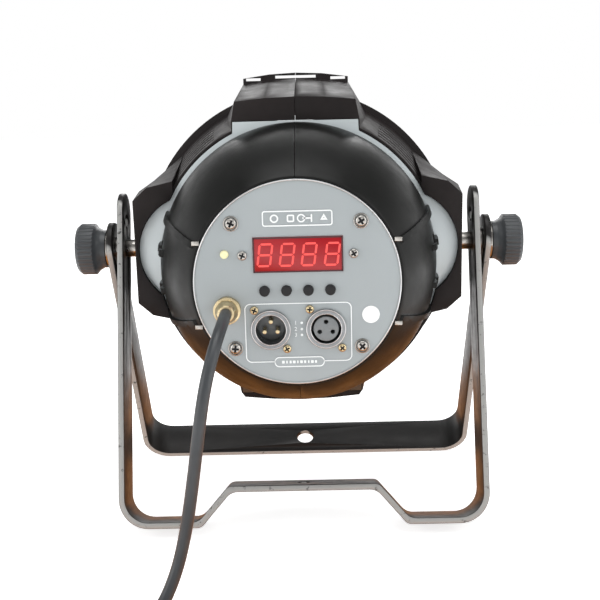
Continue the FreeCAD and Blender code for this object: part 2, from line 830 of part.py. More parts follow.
panel = turned("Panel", [
    ("0", "panel_seat"), ("panel_radius - panel_rim", "panel_seat"),
    ("panel_radius - panel_rim", "-panel_face"), ("panel_radius", "panel_seat"),
    ("panel_radius", "panel_back"), ("0", "panel_back")])
node(cut("RearPanel", panel, holes_in_panel), "rear_panel")

node(group("PanelScrews", [
    screw("CornerScrew_%d" % n, spot, "corner_head", "4", "12", "panel_seat - 0.5", "corner_head + 2")
    for n, spot in enumerate(corner_spots())]), "panel_screws")
standoffs = []
for number, (across, level) in enumerate(corner_spots()):
    rod = cylinder("Standoff_%d" % number, "3.5", "panel_face - panel_thick - shell_rear",
                   (across, "panel_back", level))
    tapped = cylinder("StandoffBore_%d" % number, "2.05", "12", (across, "panel_back - 1", level))
    standoffs.append(cut("TappedStandoff_%d" % number, rod, [tapped]))
node(group("Standoffs", standoffs), "panel_standoffs")
node(group("DisplayScrews", [
    screw("DisplayScrew_%d" % side, ("window_x + %d * display_screw_x" % side, "window_up"),
          "small_head", "3", "7", "panel_seat")
    for side in (1, -1)]), "display_screws")
node(box("Window", ("window_x + 0.1 - window_width / 2", FACE + " - 0.2", "window_up + 0.1 - window_height / 2"),
         ("window_width - 0.2", "window_thick", "window_height - 0.2")), "display_window")
node(box("Display", ("window_x - display_width / 2", FACE + " + window_thick + 0.2", "window_up - display_height / 2"),
         ("display_width", "display_depth - window_thick", "display_height")), "display_module")
BOARD = FACE + " + 10"
board_holes = [cylinder("BoardHoleRight", "1.6", "5", ("window_x + display_screw_x", BOARD + " - 1", "window_up")),
               cylinder("BoardHoleLeft", "1.6", "5", ("window_x - display_screw_x", BOARD + " - 1", "window_up"))]
node(cut("Control", box(
    "ControlPlain", ("-control_half", BOARD, "-control_low"),
    ("control_half * 2", "board_thick", "control_height")), board_holes), "control_board")
node(group("Switches", [
    box("Switch_%d" % n,
        (across + " - switch_size / 2", BOARD + " - switch_height", "button_level - switch_size / 2"),
        ("switch_size", "switch_height", "switch_size"))
    for n, across in enumerate(BUTTON_SPOTS)]), "button_switches")
for number, across in enumerate(BUTTON_SPOTS):
    stem = cylinder("ButtonStem_%d" % number, "button_diameter / 2",
                    "button_proud + 7 - button_travel - 0.3",
                    (across, FACE + " - button_proud", "button_level"))
    collar = cylinder("ButtonCollar_%d" % number, "button_diameter / 2 + 1", "1.2",
                      (across, "panel_back + 0.1", "button_level"))
    node(fuse("Button_%d" % number, [stem, collar]), "button_%d" % (number + 1))
led_body = cylinder("LedBody", "led_diameter / 2", "10", ("-led_x", FACE, "led_level"))
led_dome = doc.addObject("Part::Sphere", "LedDome")
bind(led_dome, "Radius", "led_diameter / 2")
place(led_dome, ("-led_x", FACE, "led_level"))
node(fuse("Led", [led_body, led_dome]), "indicator_led")
label = cylinder("Label", "label_diameter / 2", "0.3", ("label_x", FACE, "label_level"))
node(label, "round_label")


# -------------------------------------------------------------- connectors
def connector(word, side, cup_depth):
    """Flanged metal shell behind the panel, its mouth through the panel."""
    middle = "%d * connector_x" % side
    outer = "connector_shell / 2"
    pieces = [
        cylinder(word + "_ring", outer, "connector_proud + 0.3",
                 (middle, FACE + " - connector_proud", "connector_level")),
        cylinder(word + "_barrel", outer + " - 1", "connector_depth", (middle, FACE, "connector_level")),
        box(word + "_flange", (middle + " - 13", "panel_back", "connector_level - 15.5"), ("26", "2", "31")),
    ]
    tools = [cylinder(word + "_cup", "connector_bore / 2", cup_depth,
                      (middle, FACE + " - connector_proud - 1", "connector_level"))]
    for number, (across, level) in enumerate(connector_spots(side)):
        tools.append(cylinder("%s_hole_%d" % (word, number), "1.6", "6", (across, "panel_back - 1", level)))
    return cut(word + "_shell", fuse(word + "_solid", pieces), tools)


def contact_spots(side):
    """Three contacts on a circle, one at the top and two at the sides."""
    middle = "%d * connector_x" % side
    for angle in (90, 205, 335):
        across = round(math.cos(math.radians(angle)) / 2, 4)
        up = round(math.sin(math.radians(angle)) / 2, 4)
        yield middle + " + contact_ring * (%s)" % across, "connector_level + contact_ring * (%s)" % up


male = connector("MaleConnector", -1, "connector_depth - 3")
node(male, "male_connector_shell")
female = connector("FemaleConnector", 1, "connector_depth - 3")
node(female, "female_connector_shell")
floor_of_cup = FACE + " - connector_proud + connector_depth - 4"
male_insert = cylinder("MaleInsertPlain", "connector_bore / 2 - 0.02", "3.5",
                       ("-connector_x", floor_of_cup + " - 3.5", "connector_level"))
pins = []
pin_holes = []
sockets = []
for number, (across, level) in enumerate(contact_spots(-1)):
    pins.append(cylinder("Pin_%d" % number, "contact_diameter / 2", "13",
                         (across, floor_of_cup + " - 13", level)))
    pin_holes.append(cylinder("PinHole_%d" % number, "contact_diameter / 2", "6",
                              (across, floor_of_cup + " - 4", level)))
for number, (across, level) in enumerate(contact_spots(1)):
    sockets.append(cylinder("Socket_%d" % number, "contact_diameter / 2 + 0.2", "10",
                            (across, FACE + " - connector_proud - 0.5", level)))
node(cut("MaleInsert", male_insert, pin_holes), "male_connector_insert")
node(group("Pins", pins), "male_connector_pins")
female_insert = cylinder("FemaleInsertPlain", "connector_bore / 2 - 1.6", "connector_depth - 4.5",
                         ("connector_x", FACE + " - connector_proud + 0.5", "connector_level"))
female_base = cylinder("FemaleInsertBase", "connector_bore / 2 - 0.02", "3",
                       ("connector_x", floor_of_cup + " - 3", "connector_level"))
node(cut("FemaleInsert", fuse("FemaleInsertSolid", [female_insert, female_base]), sockets),
     "female_connector_insert")
connector_screws = []
for side in (1, -1):
    for number, spot in enumerate(connector_spots(side)):
        connector_screws.append(screw("ConnectorScrew_%s%d" % ("rl"[side < 0], number), spot,
                                      "connector_head", "3", "6", "panel_seat"))
node(group("ConnectorScrews", connector_screws), "connector_screws")

# ------------------------------------------------------------- cable gland
gland_outside = [
    cylinder("GlandFlange", "gland_flange / 2", "4.3", ("-gland_x", FACE + " - 4", "gland_level")),
    cylinder("GlandCollar", "gland_flange / 2 - 1.4", "3", ("-gland_x", FACE + " - 7", "gland_level")),
    cone("GlandNose", "cord_diameter / 2 + 1.3", "gland_flange / 2 - 1.4", "gland_proud - 7",
         ("-gland_x", FACE + " - gland_proud", "gland_level")),
    cylinder("GlandThread", "6", "11", ("-gland_x", FACE, "gland_level")),
]
gland_bore = cylinder("GlandBore", "2.5", "40", ("-gland_x", FACE + " - 20", "gland_level"))
node(cut("Gland", fuse("GlandSolid", gland_outside), [gland_bore]), "cable_gland")
nut = doc.addObject("Part::Prism", "NutBlank")
nut.Polygon = 6
bind(nut, "Circumradius", "9")
bind(nut, "Height", "4")
place(nut, ("-gland_x", "panel_back", "gland_level"), "Y")
nut_bore = cylinder("NutBore", "6", "8", ("-gland_x", "panel_back - 1", "gland_level"))
node(cut("LockNut", nut, [nut_bore]), "gland_lock_nut")

# ----------------------------------------------------- optics and cooling
GLASS = "shell_front - 11 + gasket_thick"
node(cut("Gasket", cylinder("GasketDisc", "glass_radius", "gasket_thick", ("0", "shell_front - 11", "0")),
         [cylinder("GasketBore", "glass_radius - gasket_width", "9", ("0", "shell_front - 14", "0"))]),
     "lens_gasket")
node(cylinder("Glass", "glass_radius", "glass_thick", ("0", GLASS, "0")), "front_glass")
bezel_ring = cut("BezelRing", cylinder(
    "BezelDisc", "ring_front_radius - shell_wall - 0.3", "bezel_thick", ("0", GLASS + " + glass_thick", "0")),
    [cylinder("BezelBore", "bezel_bore", "9", ("0", "shell_front - 11", "0"))])
node(bezel_ring, "front_bezel")
RINGS = ((4, 16.0), (10, 38.0), (16, 60.0), (22, 80.0))


def led_spots():
    """Places of the emitters, in rings about the light axis."""
    for count, radius in RINGS:
        for step in range(count):
            turn = 2 * math.pi * (step + 0.5) / count
            yield radius * math.cos(turn), radius * math.sin(turn)


lenses = []
chips = []
for number, (across, up) in enumerate(led_spots()):
    spot = ("%.3f" % across, "%.3f" % up)
    lenses.append(cone("Lens_%d" % number, "lens_diameter / 2 - 5", "lens_diameter / 2", "lens_height",
                       (spot[0], "board_front + chip_height", spot[1])))
    chips.append(box("Chip_%d" % number,
                     (spot[0] + " - chip_size / 2", "board_front", spot[1] + " - chip_size / 2"),
                     ("chip_size", "chip_height", "chip_size")))
node(group("Lenses", lenses), "led_lenses")
node(group("Chips", chips), "led_chips")
node(cylinder("LedBoard", "board_radius", "board_thick", ("0", "board_front - board_thick", "0")),
     "led_board")
sink_front = "board_front - board_thick"
fins = [cylinder("SinkBase", "sink_radius", "sink_base", ("0", sink_front + " - sink_base", "0"))]
for step in range(-7, 8):
    fin = box("Fin_%d" % (step + 7),
              ("%d * fin_pitch - fin_thick / 2" % step, sink_front + " - sink_base - fin_height", "-sink_radius"),
              ("fin_thick", "fin_height + 1", "sink_radius * 2"))
    fins.append(fin)
sink_limit = cylinder("SinkLimit", "sink_radius", "60", ("0", "-20", "0"))
node(common("HeatSink", fuse("SinkSolid", fins), sink_limit), "heat_sink")
posts = []
for across, up in SIGNS:
    posts.append(cylinder("Post_%d" % len(posts), "3", "board_front - board_thick - sink_base - fan_rear",
                          ("%d * fin_pitch * 5.5" % across, "fan_rear", "%d * 50" % up)))
node(group("Posts", posts), "heat_sink_posts")
FAN = "fan_rear"
fan_case = box("FanCase", ("-fan_size / 2", FAN, "-fan_size / 2"), ("fan_size", "fan_depth", "fan_size"))
fan_mouth = cylinder("FanMouth", "fan_size / 2 - fan_wall", "fan_depth - 2", ("0", FAN + " - 1", "0"))
fan_exit = cylinder("FanExit", "fan_size / 2 - fan_wall", "5", ("0", FAN + " + fan_depth - 4", "0"))
fan_ring = cut("FanRing", fan_exit, [cylinder("FanHubPlate", "hub_radius + 1", "9", ("0", FAN, "0"))])
spokes = []
for angle in (0, 120, 240):
    aside, below = (-1.5 * turn(math.radians(angle)) for turn in (math.sin, math.cos))
    spoke = box("Spoke_%d" % angle, ("%.5f" % aside, FAN + " + fan_depth - spoke_width", "%.5f" % below),
                ("fan_size / 2 - 1", "spoke_width", "spoke_width"))
    spoke.Placement.Rotation = FreeCAD.Rotation(FreeCAD.Vector(0, 1, 0), angle)
    spokes.append(spoke)
shaft_hole = cylinder("ShaftHole", "1.55", "40", ("0", "-20", "0"))
hub_plate = cylinder("HubPlate", "hub_radius + 0.5", "3", ("0", FAN + " + fan_depth - 3", "0"))
open_case = cut("OpenCase", fan_case, [fan_mouth, fan_ring])
node(cut("FanFrame", fuse("FanFrameSolid", [open_case, hub_plate] + spokes), [shaft_hole]), "fan_frame")


def rotor_shape():
    """Fan hub with seven pitched blades and its shaft."""
    start = FreeCAD.Vector(0, value("fan_rear") + 0.8, 0)
    ahead = FreeCAD.Vector(0, 1, 0)
    depth = value("fan_depth") - 4.3
    shape = Part.makeCylinder(value("hub_radius"), depth, start, ahead)
    shaft = Part.makeCylinder(1.5, value("fan_depth") - 1.3, start, ahead)
    shape = shape.fuse(shaft)
    reach = value("fan_size") / 2 - value("fan_wall") - 0.8
    limit = Part.makeCylinder(reach, depth, start, ahead)
    for step in range(7):
        corner = FreeCAD.Vector(2, -value("blade_thick") / 2, -8)
        blade = Part.makeBox(reach, value("blade_thick"), 16, corner)
        blade.rotate(FreeCAD.Vector(), FreeCAD.Vector(1, 0, 0), 38)
        blade.translate(start + ahead * (depth / 2))
        blade.rotate(FreeCAD.Vector(), ahead, step * 360 / 7)
        shape = shape.fuse(blade.common(limit))
    return shape


rotor = doc.addObject("Part::Feature", "Rotor")
rotor.Shape = rotor_shape()
node(rotor, "fan_rotor")
SUPPLY = "-shell_rear - 33"
supply_holes = [cylinder("SupplyHole_%d" % n, "3.65", "5", (across, SUPPLY + " - 1", level))
                for n, (across, level) in enumerate(corner_spots())]
supply = box("SupplyPlain", ("-supply_half", SUPPLY, "-supply_half"),
             ("supply_half * 2", "board_thick", "supply_half * 2 - 4"))
node(cut("Supply", supply, supply_holes), "power_supply_board")
node(group("SupplyParts", [
    box("Transformer", ("-14", SUPPLY + " - 22", "-12"), ("30", "22", "26")),
    cylinder("BigCapacitor", "9", "24", ("-30", SUPPLY + " - 24", "4")),
    cylinder("SmallCapacitor", "5", "14", ("30", SUPPLY + " - 14", "20")),
    box("Choke", ("22", SUPPLY + " - 12", "-20"), ("16", "12", "16")),
]), "power_supply_parts")
bezel_screws = []
for step in range(6):
    turn = math.radians(30 + 60 * step)
    across, up = ("(%.5f) * (ring_front_radius - shell_wall - 2.8)" % part
                  for part in (math.cos(turn), math.sin(turn)))
    head = cylinder("BezelHead_%d" % step, "2.0", "1.4",
                    (across, GLASS + " + glass_thick + bezel_thick", up))
    bezel_screws.append(head)
node(group("BezelScrews", bezel_screws), "bezel_screws")

# ------------------------------------------------------- pivots and knobs
for side, word in ((1, "right"), (-1, "left")):
    flip = side < 0
    blank = pivot_insert("Insert_" + word, side, "insert_diameter / 2 - 0.02", False)
    hollow = cylinder("InsertBore_" + word, "stud_diameter / 2 + play", "60",
                      ("-stand_inner - 5" if flip else "pod_out - insert_inside - 1", "0", "pivot_drop"), "X")
    node(cut("ThreadedInsert_" + word, blank, [hollow]), "pivot_insert_" + word)
    spacer = cylinder("SpacerBlank_" + word, "spacer_diameter / 2", "spacer_thick - 2 * play",
                      ("stand_outer + play" if not flip else "-hang_inner + play", "0", "pivot_drop"), "X")
    spacer_bore = cylinder("SpacerBore_" + word, "pivot_bore / 2", "400", ("-200", "0", "pivot_drop"), "X")
    node(cut("Spacer_" + word, spacer, [spacer_bore]), "spacer_" + word)
    washer = cylinder("WasherBlank_" + word, "washer_diameter / 2", "washer_thick - 2 * play",
                      ("hang_outer + play" if not flip else "-knob_start + play", "0", "pivot_drop"), "X")
    node(cut("Washer_" + word, washer, [spacer_bore]), "washer_" + word)


def knob_body(word, side):
    """Round clamp knob with finger grooves, moulded on its threaded stud."""
    body = new_body("Knob_" + word)
    sketch = sketch_in(body, "KnobProfile_" + word, "XY_Plane")
    grip = "hub_length + knob_length"
    profile = [("stud_diameter / 2 - 0.1", "0"), ("hub_diameter / 2", "0"),
               ("hub_diameter / 2", "hub_length - 3.5"),
               ("knob_diameter / 2 - 2.5", "hub_length"), ("knob_diameter / 2", "hub_length + 2"),
               ("knob_diameter / 2", grip + " - 2.5"), ("knob_diameter / 2 - 2", grip),
               ("knob_diameter / 2 - 5", grip), ("knob_diameter / 2 - 6", grip + " - 1.2"),
               ("stud_diameter / 2 - 0.1", grip + " - 1.2")]
    polygon(sketch, profile)
    doc.recompute()
    spin = body.newObject("PartDesign::Revolution", "KnobTurn_" + word)
    spin.Profile = sketch
    spin.ReferenceAxis = (sketch, ["V_Axis"])
    spin.Angle = 360
    doc.recompute()
    return body


def knob_grooves(word):
    """Cutters for the finger grooves round the knob's grip."""
    count = 36
    grooves = []
    for step in range(count):
        turn = 2 * math.pi * step / count
        reach = "(%.5f) * (knob_diameter / 2 + 0.55)"
        grooves.append(cylinder("Groove_%s_%d" % (word, step), "1.15", "knob_length + 2", (
            reach % math.cos(turn), "hub_length - 1", reach % math.sin(turn))))
    return grooves


for side, word in ((1, "right"), (-1, "left")):
    grip = cut("KnobGrip_" + word, knob_body(word, side), knob_grooves(word))
    turn = FreeCAD.Rotation(FreeCAD.Vector(0, 0, 1), -90 * side)
    grip.Placement = FreeCAD.Placement(FreeCAD.Vector(), turn)
    grip.Label = "knob_" + word
    bind(grip, "Placement.Base.x", "%d * (knob_start + play)" % side)
    bind(grip, "Placement.Base.y", "pivot_back")
    bind(grip, "Placement.Base.z", "pivot_high")
    NODES.append(grip)
    inner = "pod_out - stud_reach"
    reach = "(knob_start + hub_length + knob_length - 4) - (%s)" % inner
    stud = cylinder("Stud_" + word, "stud_diameter / 2 - 0.1", reach,
                    (inner if side > 0 else "-(%s) - (%s)" % (inner, reach), "0", "pivot_drop"), "X")
    node(stud, "knob_stud_" + word)

# -------------------------------------------------------------------- cord
EXIT = (-value("gland_x"), value("pivot_back") - value("panel_face") - value("gland_proud"),
        value("axis_high") + value("gland_level"))
# Points of the lead past its exit: aside, behind, and a share of the exit's
# height; the last ones lie on the floor and give their height in millimetres.
HANGING = [
    (0.0, -22.1, 1.0000),
    (-3.5, -41.1, 0.9390),
    (-8.5, -52.1, 0.8189),
    (-12.5, -56.6, 0.6619),
    (-16.5, -57.6, 0.4988),
    (-21.0, -59.1, 0.3417),
    (-27.0, -63.1, 0.1970),
]
LYING = [
    (-36.0, -71.6, 14.0),
    (-49.5, -83.1, 4.2),
    (-68.0, -92.6, 3.5),
]
ROUTE = [EXIT]
ROUTE += [(EXIT[0] + aside, EXIT[1] + behind, EXIT[2] * share) for aside, behind, share in HANGING]
ROUTE += [(EXIT[0] + aside, EXIT[1] + behind, level) for aside, behind, level in LYING]
COIL_RADIUS = 38.5
COIL_WIDE = 2
COIL_HIGH = 2
TAIL_LENGTH = 32.0


def tube(points, diameter):
    """Round tube along straight runs joined by tangent arcs."""
    spots = [FreeCAD.Vector(*point) for point in points]
    edges = []
    radii = []
    start = spots[0]
    for before, corner, after in zip(spots, spots[1:], spots[2:]):
        back = (before - corner)
        ahead = (after - corner)
        shorter = min(back.Length, ahead.Length)
        back.normalize()
        ahead.normalize()
        turn = math.pi - back.getAngle(ahead)
        setback = 0.45 * shorter
        radius = setback / math.tan(turn / 2)
        radii.append(radius)
        inward = (back + ahead).normalize()
        centre = corner + inward * (radius / math.cos(turn / 2))
        first = corner + back * setback
        last = corner + ahead * setback
        edges.append(Part.LineSegment(start, first).toShape())
        edges.append(Part.Arc(first, centre - inward * radius, last).toShape())
        start = last
    edges.append(Part.LineSegment(start, spots[-1]).toShape())
    path = Part.Wire(edges)
    heading = spots[1] - spots[0]
    rim = Part.Wire(Part.makeCircle(diameter / 2, spots[0], heading))
    solid = path.makePipeShell([rim], True, False)
    expected = math.pi * diameter ** 2 / 4 * path.Length
    print("cord radii", [round(radius, 1) for radius in radii])
    print("cord length %.1f, volume ratio %.4f" % (path.Length, solid.Volume / expected))
    return solid


cord_width = value("cord_diameter")
ends = [FreeCAD.Vector(*point) for point in ROUTE[-2:]]
heading = FreeCAD.Vector(ends[1].x - ends[0].x, ends[1].y - ends[0].y, 0).normalize()
coil_centre = ends[1] + FreeCAD.Vector(-heading.y, heading.x, 0) * COIL_RADIUS
coil_centre.z = 0
coil_outer = COIL_RADIUS + COIL_WIDE * cord_width / 2
coil_solid = Part.makeCylinder(coil_outer, COIL_HIGH * cord_width, coil_centre)
coil_hole = Part.makeCylinder(coil_outer - COIL_WIDE * cord_width, 2 * COIL_HIGH * cord_width, coil_centre)
coil = doc.addObject("Part::Feature", "Coil")
coil.Shape = coil_solid.cut(coil_hole)
print("coil centre", coil_centre)
cord = doc.addObject("Part::Feature", "Cord")
cord.Shape = tube(ROUTE, cord_width).cut(coil_solid)
tail_level = (COIL_HIGH - 0.5) * cord_width
tail_start = coil_centre + FreeCAD.Vector(0, -COIL_RADIUS, tail_level)
tail = doc.addObject("Part::Feature", "Tail")
tail_solid = Part.makeCylinder(cord_width / 2, TAIL_LENGTH, tail_start, FreeCAD.Vector(1, 0, 0))
tail.Shape = tail_solid.cut(coil_solid)
plug_start = tail_start + FreeCAD.Vector(TAIL_LENGTH, 0, 0)


def plug_shape():
    """Moulded plug lying flat: tapered strain relief and a rounded body."""
    relief = Part.makeCone(cord_width / 2 + 0.8, 6.5, 22, plug_start, FreeCAD.Vector(1, 0, 0))
    high = 2 * tail_level
    corner = plug_start + FreeCAD.Vector(21, -13, -tail_level)
    body = Part.makeBox(33, 26, high, corner)
    body = body.makeFillet(4, [edge for edge in body.Edges if edge.BoundBox.XLength > 30])
    return relief.fuse(body)


plug = doc.addObject("Part::Feature", "Plug")
plug.Shape = plug_shape()
pin_start = plug_start + FreeCAD.Vector(54, 0, 0)
blades = [Part.makeBox(17, 1.5, 6.3, pin_start + FreeCAD.Vector(0, side * 6.35 - 0.75, -0.5))
          for side in (1, -1)]
earth = Part.makeCylinder(2.4, 20, pin_start + FreeCAD.Vector(0, 0, -5.5), FreeCAD.Vector(1, 0, 0))
plug_pins = doc.addObject("Part::Feature", "PlugPins")
plug_pins.Shape = Part.makeCompound(blades + [earth])
for thing, word in ((cord, "power_cord"), (coil, "cord_coil"), (tail, "cord_tail"),
                    (plug, "plug_body"), (plug_pins, "plug_pins")):
    node(thing, word, "own")

# ------------------------------------------------------------------ output
doc.recompute()
for thing in doc.Objects:
    if "Invalid" in thing.State or "Error" in thing.State:
        raise RuntimeError("failed: %s %s" % (thing.Name, thing.State))
for thing in NODES:
    if thing.Shape.isNull() or not thing.Shape.isValid():
        raise RuntimeError("bad shape: " + thing.Label)
for thing in NODES:
    thing.Shape.exportStep("parts/%s.step" % thing.Label)
print(len(NODES), "sub-parts written")
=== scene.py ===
# %% [markdown]
# # Par can light
# A stage light seen from its control panel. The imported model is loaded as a
# fixed frame; every new piece is placed from it, in metres, and rides on one
# of its bodies. Nothing is moved or resized here: only looks are added. Points
# that more than one step needs are read from the frame once: the brackets'
# pivot, the light axis and the rear face of the panel.

# %% Load the frame
import json
import math

import bpy
from mathutils import Matrix, Vector


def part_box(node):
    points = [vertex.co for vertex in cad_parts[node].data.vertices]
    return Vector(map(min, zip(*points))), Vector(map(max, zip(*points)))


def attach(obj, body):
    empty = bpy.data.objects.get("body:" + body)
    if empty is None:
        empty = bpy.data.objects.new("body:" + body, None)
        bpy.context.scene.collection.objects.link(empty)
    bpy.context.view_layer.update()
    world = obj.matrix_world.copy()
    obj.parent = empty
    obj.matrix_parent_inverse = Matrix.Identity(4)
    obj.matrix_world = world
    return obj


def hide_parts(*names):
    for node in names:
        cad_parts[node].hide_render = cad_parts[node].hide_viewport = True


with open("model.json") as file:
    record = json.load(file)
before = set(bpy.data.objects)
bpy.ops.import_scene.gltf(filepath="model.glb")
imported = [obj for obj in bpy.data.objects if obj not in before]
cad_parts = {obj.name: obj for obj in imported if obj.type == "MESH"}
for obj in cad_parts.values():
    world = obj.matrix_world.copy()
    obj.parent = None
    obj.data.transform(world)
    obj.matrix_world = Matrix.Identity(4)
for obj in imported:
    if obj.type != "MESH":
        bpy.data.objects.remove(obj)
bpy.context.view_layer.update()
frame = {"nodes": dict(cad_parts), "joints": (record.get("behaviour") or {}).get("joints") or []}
NODES = frame["nodes"]
MM = 0.001
JOINTS = {joint["name"]: joint for joint in frame["joints"]}
PIVOT = Vector(JOINTS["stand_tilt"]["pos_m"])
AXIS = Vector(JOINTS["fan_spin"]["pos_m"])
PANEL_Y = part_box("rear_panel")[0][1]
print("pivot", PIVOT, "light axis", AXIS, "panel face", PANEL_Y)

# %% [markdown]
# ## Shader maths
# A material is easier to read as a sum than as a web of nodes. `Sock` wraps
# one output socket and turns `a * 2 + b` into Math nodes, so that masks and
# noises are written as plain expressions. `Recipe` owns one material and
# makes every other node with a single method.


# %% Socket arithmetic
class Sock:
    """One output socket on which sums can be written."""

    def __init__(self, recipe, socket):
        self.recipe = recipe
        self.socket = socket

    def math(self, operation, *others, clamp=False):
        values = {0: self}
        values.update({place: other for place, other in enumerate(others, start=1)})
        return self.recipe.add("ShaderNodeMath", {"operation": operation, "use_clamp": clamp}, values)

    def __add__(self, other):
        return self.math("ADD", other)

    def __mul__(self, other):
        return self.math("MULTIPLY", other)

    __radd__ = __add__
    __rmul__ = __mul__

    def ramp(self, low, high, to_low=0.0, to_high=1.0):
        """Straight climb between two values, held level outside them."""
        settings = {"clamp": True, "interpolation_type": "LINEAR"}
        ends = {0: self, 1: low, 2: high, 3: to_low, 4: to_high}
        return self.recipe.add("ShaderNodeMapRange", settings, ends)

    def size(self):
        return self.math("ABSOLUTE")


class Recipe:
    """One material: its shader, and a short way to add nodes before it."""

    def __init__(self, name):
        self.material = bpy.data.materials.new(name)
        self.material.use_nodes = True
        self.tree = self.material.node_tree
        self.shader = self.tree.nodes["Principled BSDF"]

    def link(self, value, entry):
        if isinstance(value, Sock):
            self.tree.links.new(value.socket, entry)
        elif isinstance(value, (tuple, list, Vector)):
            wanted = len(entry.default_value)
            entry.default_value = (tuple(value) + (1.0,))[:wanted]
        else:
            entry.default_value = value

    def add(self, kind, settings=None, values=None, output=0):
        node = self.tree.nodes.new(kind)
        for name, value in (settings or {}).items():
            setattr(node, name, value)
        for name, value in (values or {}).items():
            self.link(value, node.inputs[name])
        return Sock(self, node.outputs[output])

    def set(self, **values):
        for name, value in values.items():
            self.link(value, self.shader.inputs[name.replace("_", " ").title().replace("Ior", "IOR")])
        return self

    def place(self):
        """Where a point is on the object, in metres."""
        return self.add("ShaderNodeTexCoord", output=3)

    def parts(self, vector):
        node = self.add("ShaderNodeSeparateXYZ", values={0: vector}).socket.node
        return [Sock(self, socket) for socket in node.outputs]

    def noise(self, scale, detail=2.0, roughness=0.5, vector=None):
        values = {"Vector": vector or self.place(), "Scale": scale, "Detail": detail, "Roughness": roughness}
        return self.add("ShaderNodeTexNoise", {"noise_dimensions": "3D"}, values)

    def speckle(self, scale, vector=None):
        values = {"Vector": vector or self.place(), "Scale": scale}
        return self.add("ShaderNodeTexVoronoi", {"feature": "F1"}, values)

    def blend(self, mask, below, above):
        """Colour mix: below where the mask is 0, above where it is 1."""
        node = self.tree.nodes.new("ShaderNodeMix")
        node.data_type = "RGBA"
        self.link(mask, node.inputs[0])
        self.link(below, node.inputs[6])
        self.link(above, node.inputs[7])
        return Sock(self, node.outputs[2])

    def bump(self, height, strength, distance):
        values = {"Height": height, "Strength": strength, "Distance": distance}
        return self.add("ShaderNodeBump", values=values)


# %% [markdown]
# ## Moulded plastics
# The shells are injection-moulded: a fine spark-eroded grain that scatters the
# light, a faint unevenness of gloss, and dust in the grain. The grain could be
# displaced geometry or an image, but it is far finer than the mesh, so a small
# noise through a Bump node does it at any distance. The gloss is set low for
# the black parts, because black plastic is judged by how dark it stays.


# %% Plastic finishes
def moulded(name, colour, dusty, roughness, grain_height, grain_scale=2600.0, gloss=0.5):
    """Grained plastic whose colour drifts a little towards a dusty tone."""
    recipe = Recipe(name)
    recipe.set(Specular_IOR_Level=gloss)
    drift = recipe.noise(28.0, 3.0, 0.6).ramp(0.35, 0.75)
    fine = recipe.noise(grain_scale, 1.0, 0.5)
    recipe.set(Base_Color=recipe.blend(drift * 0.6, colour, dusty))
    recipe.set(Roughness=recipe.noise(60.0, 3.0, 0.6).ramp(0.3, 0.7, roughness - 0.06, roughness + 0.08))
    recipe.set(Normal=recipe.bump(fine, 0.5, grain_height))
    return recipe.material


SHELL = moulded("grained_shell_black", (0.013, 0.0105, 0.0105), (0.024, 0.019, 0.0185), 0.46, 0.00006,
                gloss=0.15)
DOME = moulded("satin_dome_black", (0.005, 0.0054, 0.005), (0.010, 0.010, 0.0095), 0.36, 0.00005,
               gloss=0.18)
SOFT_BLACK = moulded("plain_black_plastic", (0.012, 0.012, 0.013), (0.025, 0.025, 0.027), 0.45, 0.00004,
                     gloss=0.25)
KNOB = moulded("knob_black_plastic", (0.045, 0.049, 0.053), (0.09, 0.095, 0.10), 0.34, 0.00004, gloss=0.4)
INSERT_GREY = moulded("connector_insert_grey", (0.16, 0.17, 0.175), (0.22, 0.23, 0.235), 0.38, 0.00003)
RUBBER = moulded("sheath_dark_grey", (0.030, 0.034, 0.038), (0.060, 0.065, 0.070), 0.40, 0.00005, 1800.0)
WHITE_PAPER = moulded("white_label_paper", (0.86, 0.86, 0.85), (0.80, 0.80, 0.79), 0.6, 0.00002)

# %% [markdown]
# ## Metals and paint
# The panel and the plate behind the dome are sheet metal under a silver-grey
# paint with a very fine sparkle; low down, the plate gets painted shade with a
# warm reflection, in dark brown. The brackets are black powder coat, and the cut
# edges of their strap get a painted highlight. The edges could be painted face
# by face, but a strap that bends has many, so the material reads which way the
# surface looks and paints the highlight where it looks across the strap.


# %% Metal finishes
def silver_paint(name, colour, pale, roughness, metallic, painted_shade_below=-1.0):
    """Fine silver paint; below a height in metres it turns dull and brown: painted shade with a warm
    reflection.
    """
    recipe = Recipe(name)
    sparkle = recipe.speckle(4200.0).ramp(0.1, 0.55)
    drift = recipe.noise(16.0, 2.0, 0.5).ramp(0.3, 0.7)
    paint = recipe.blend(drift * 0.5 + sparkle * 0.25, colour, pale)
    # Painted shade with a warm reflection: dark brown below the given height.
    above_painted_shade = recipe.parts(recipe.place())[2].ramp(painted_shade_below - 0.006, painted_shade_below + 0.006)
    recipe.set(Base_Color=recipe.blend(above_painted_shade, (0.085, 0.055, 0.032), paint))
    recipe.set(Metallic=metallic)
    recipe.set(Roughness=recipe.noise(90.0, 3.0, 0.6).ramp(0.3, 0.7, roughness - 0.05, roughness + 0.06))
    recipe.set(Normal=recipe.bump(recipe.noise(2400.0, 1.0), 0.35, 0.00003))
    return recipe.material


def bare_metal(name, colour, roughness, streak=0.0):
    """Bright metal with a light turning or drawing grain."""
    recipe = Recipe(name)
    fine = recipe.noise(1500.0, 2.0, 0.6)
    tone = recipe.noise(220.0, 3.0, 0.6).ramp(0.3, 0.75)
    recipe.set(Base_Color=recipe.blend(tone * 0.6, colour, [channel * 0.72 for channel in colour]))
    recipe.set(Metallic=1.0)
    recipe.set(Roughness=tone * 0.16 + (roughness - 0.05))
    recipe.set(Normal=recipe.bump(fine, 0.25 + streak, 0.00003))
    return recipe.material


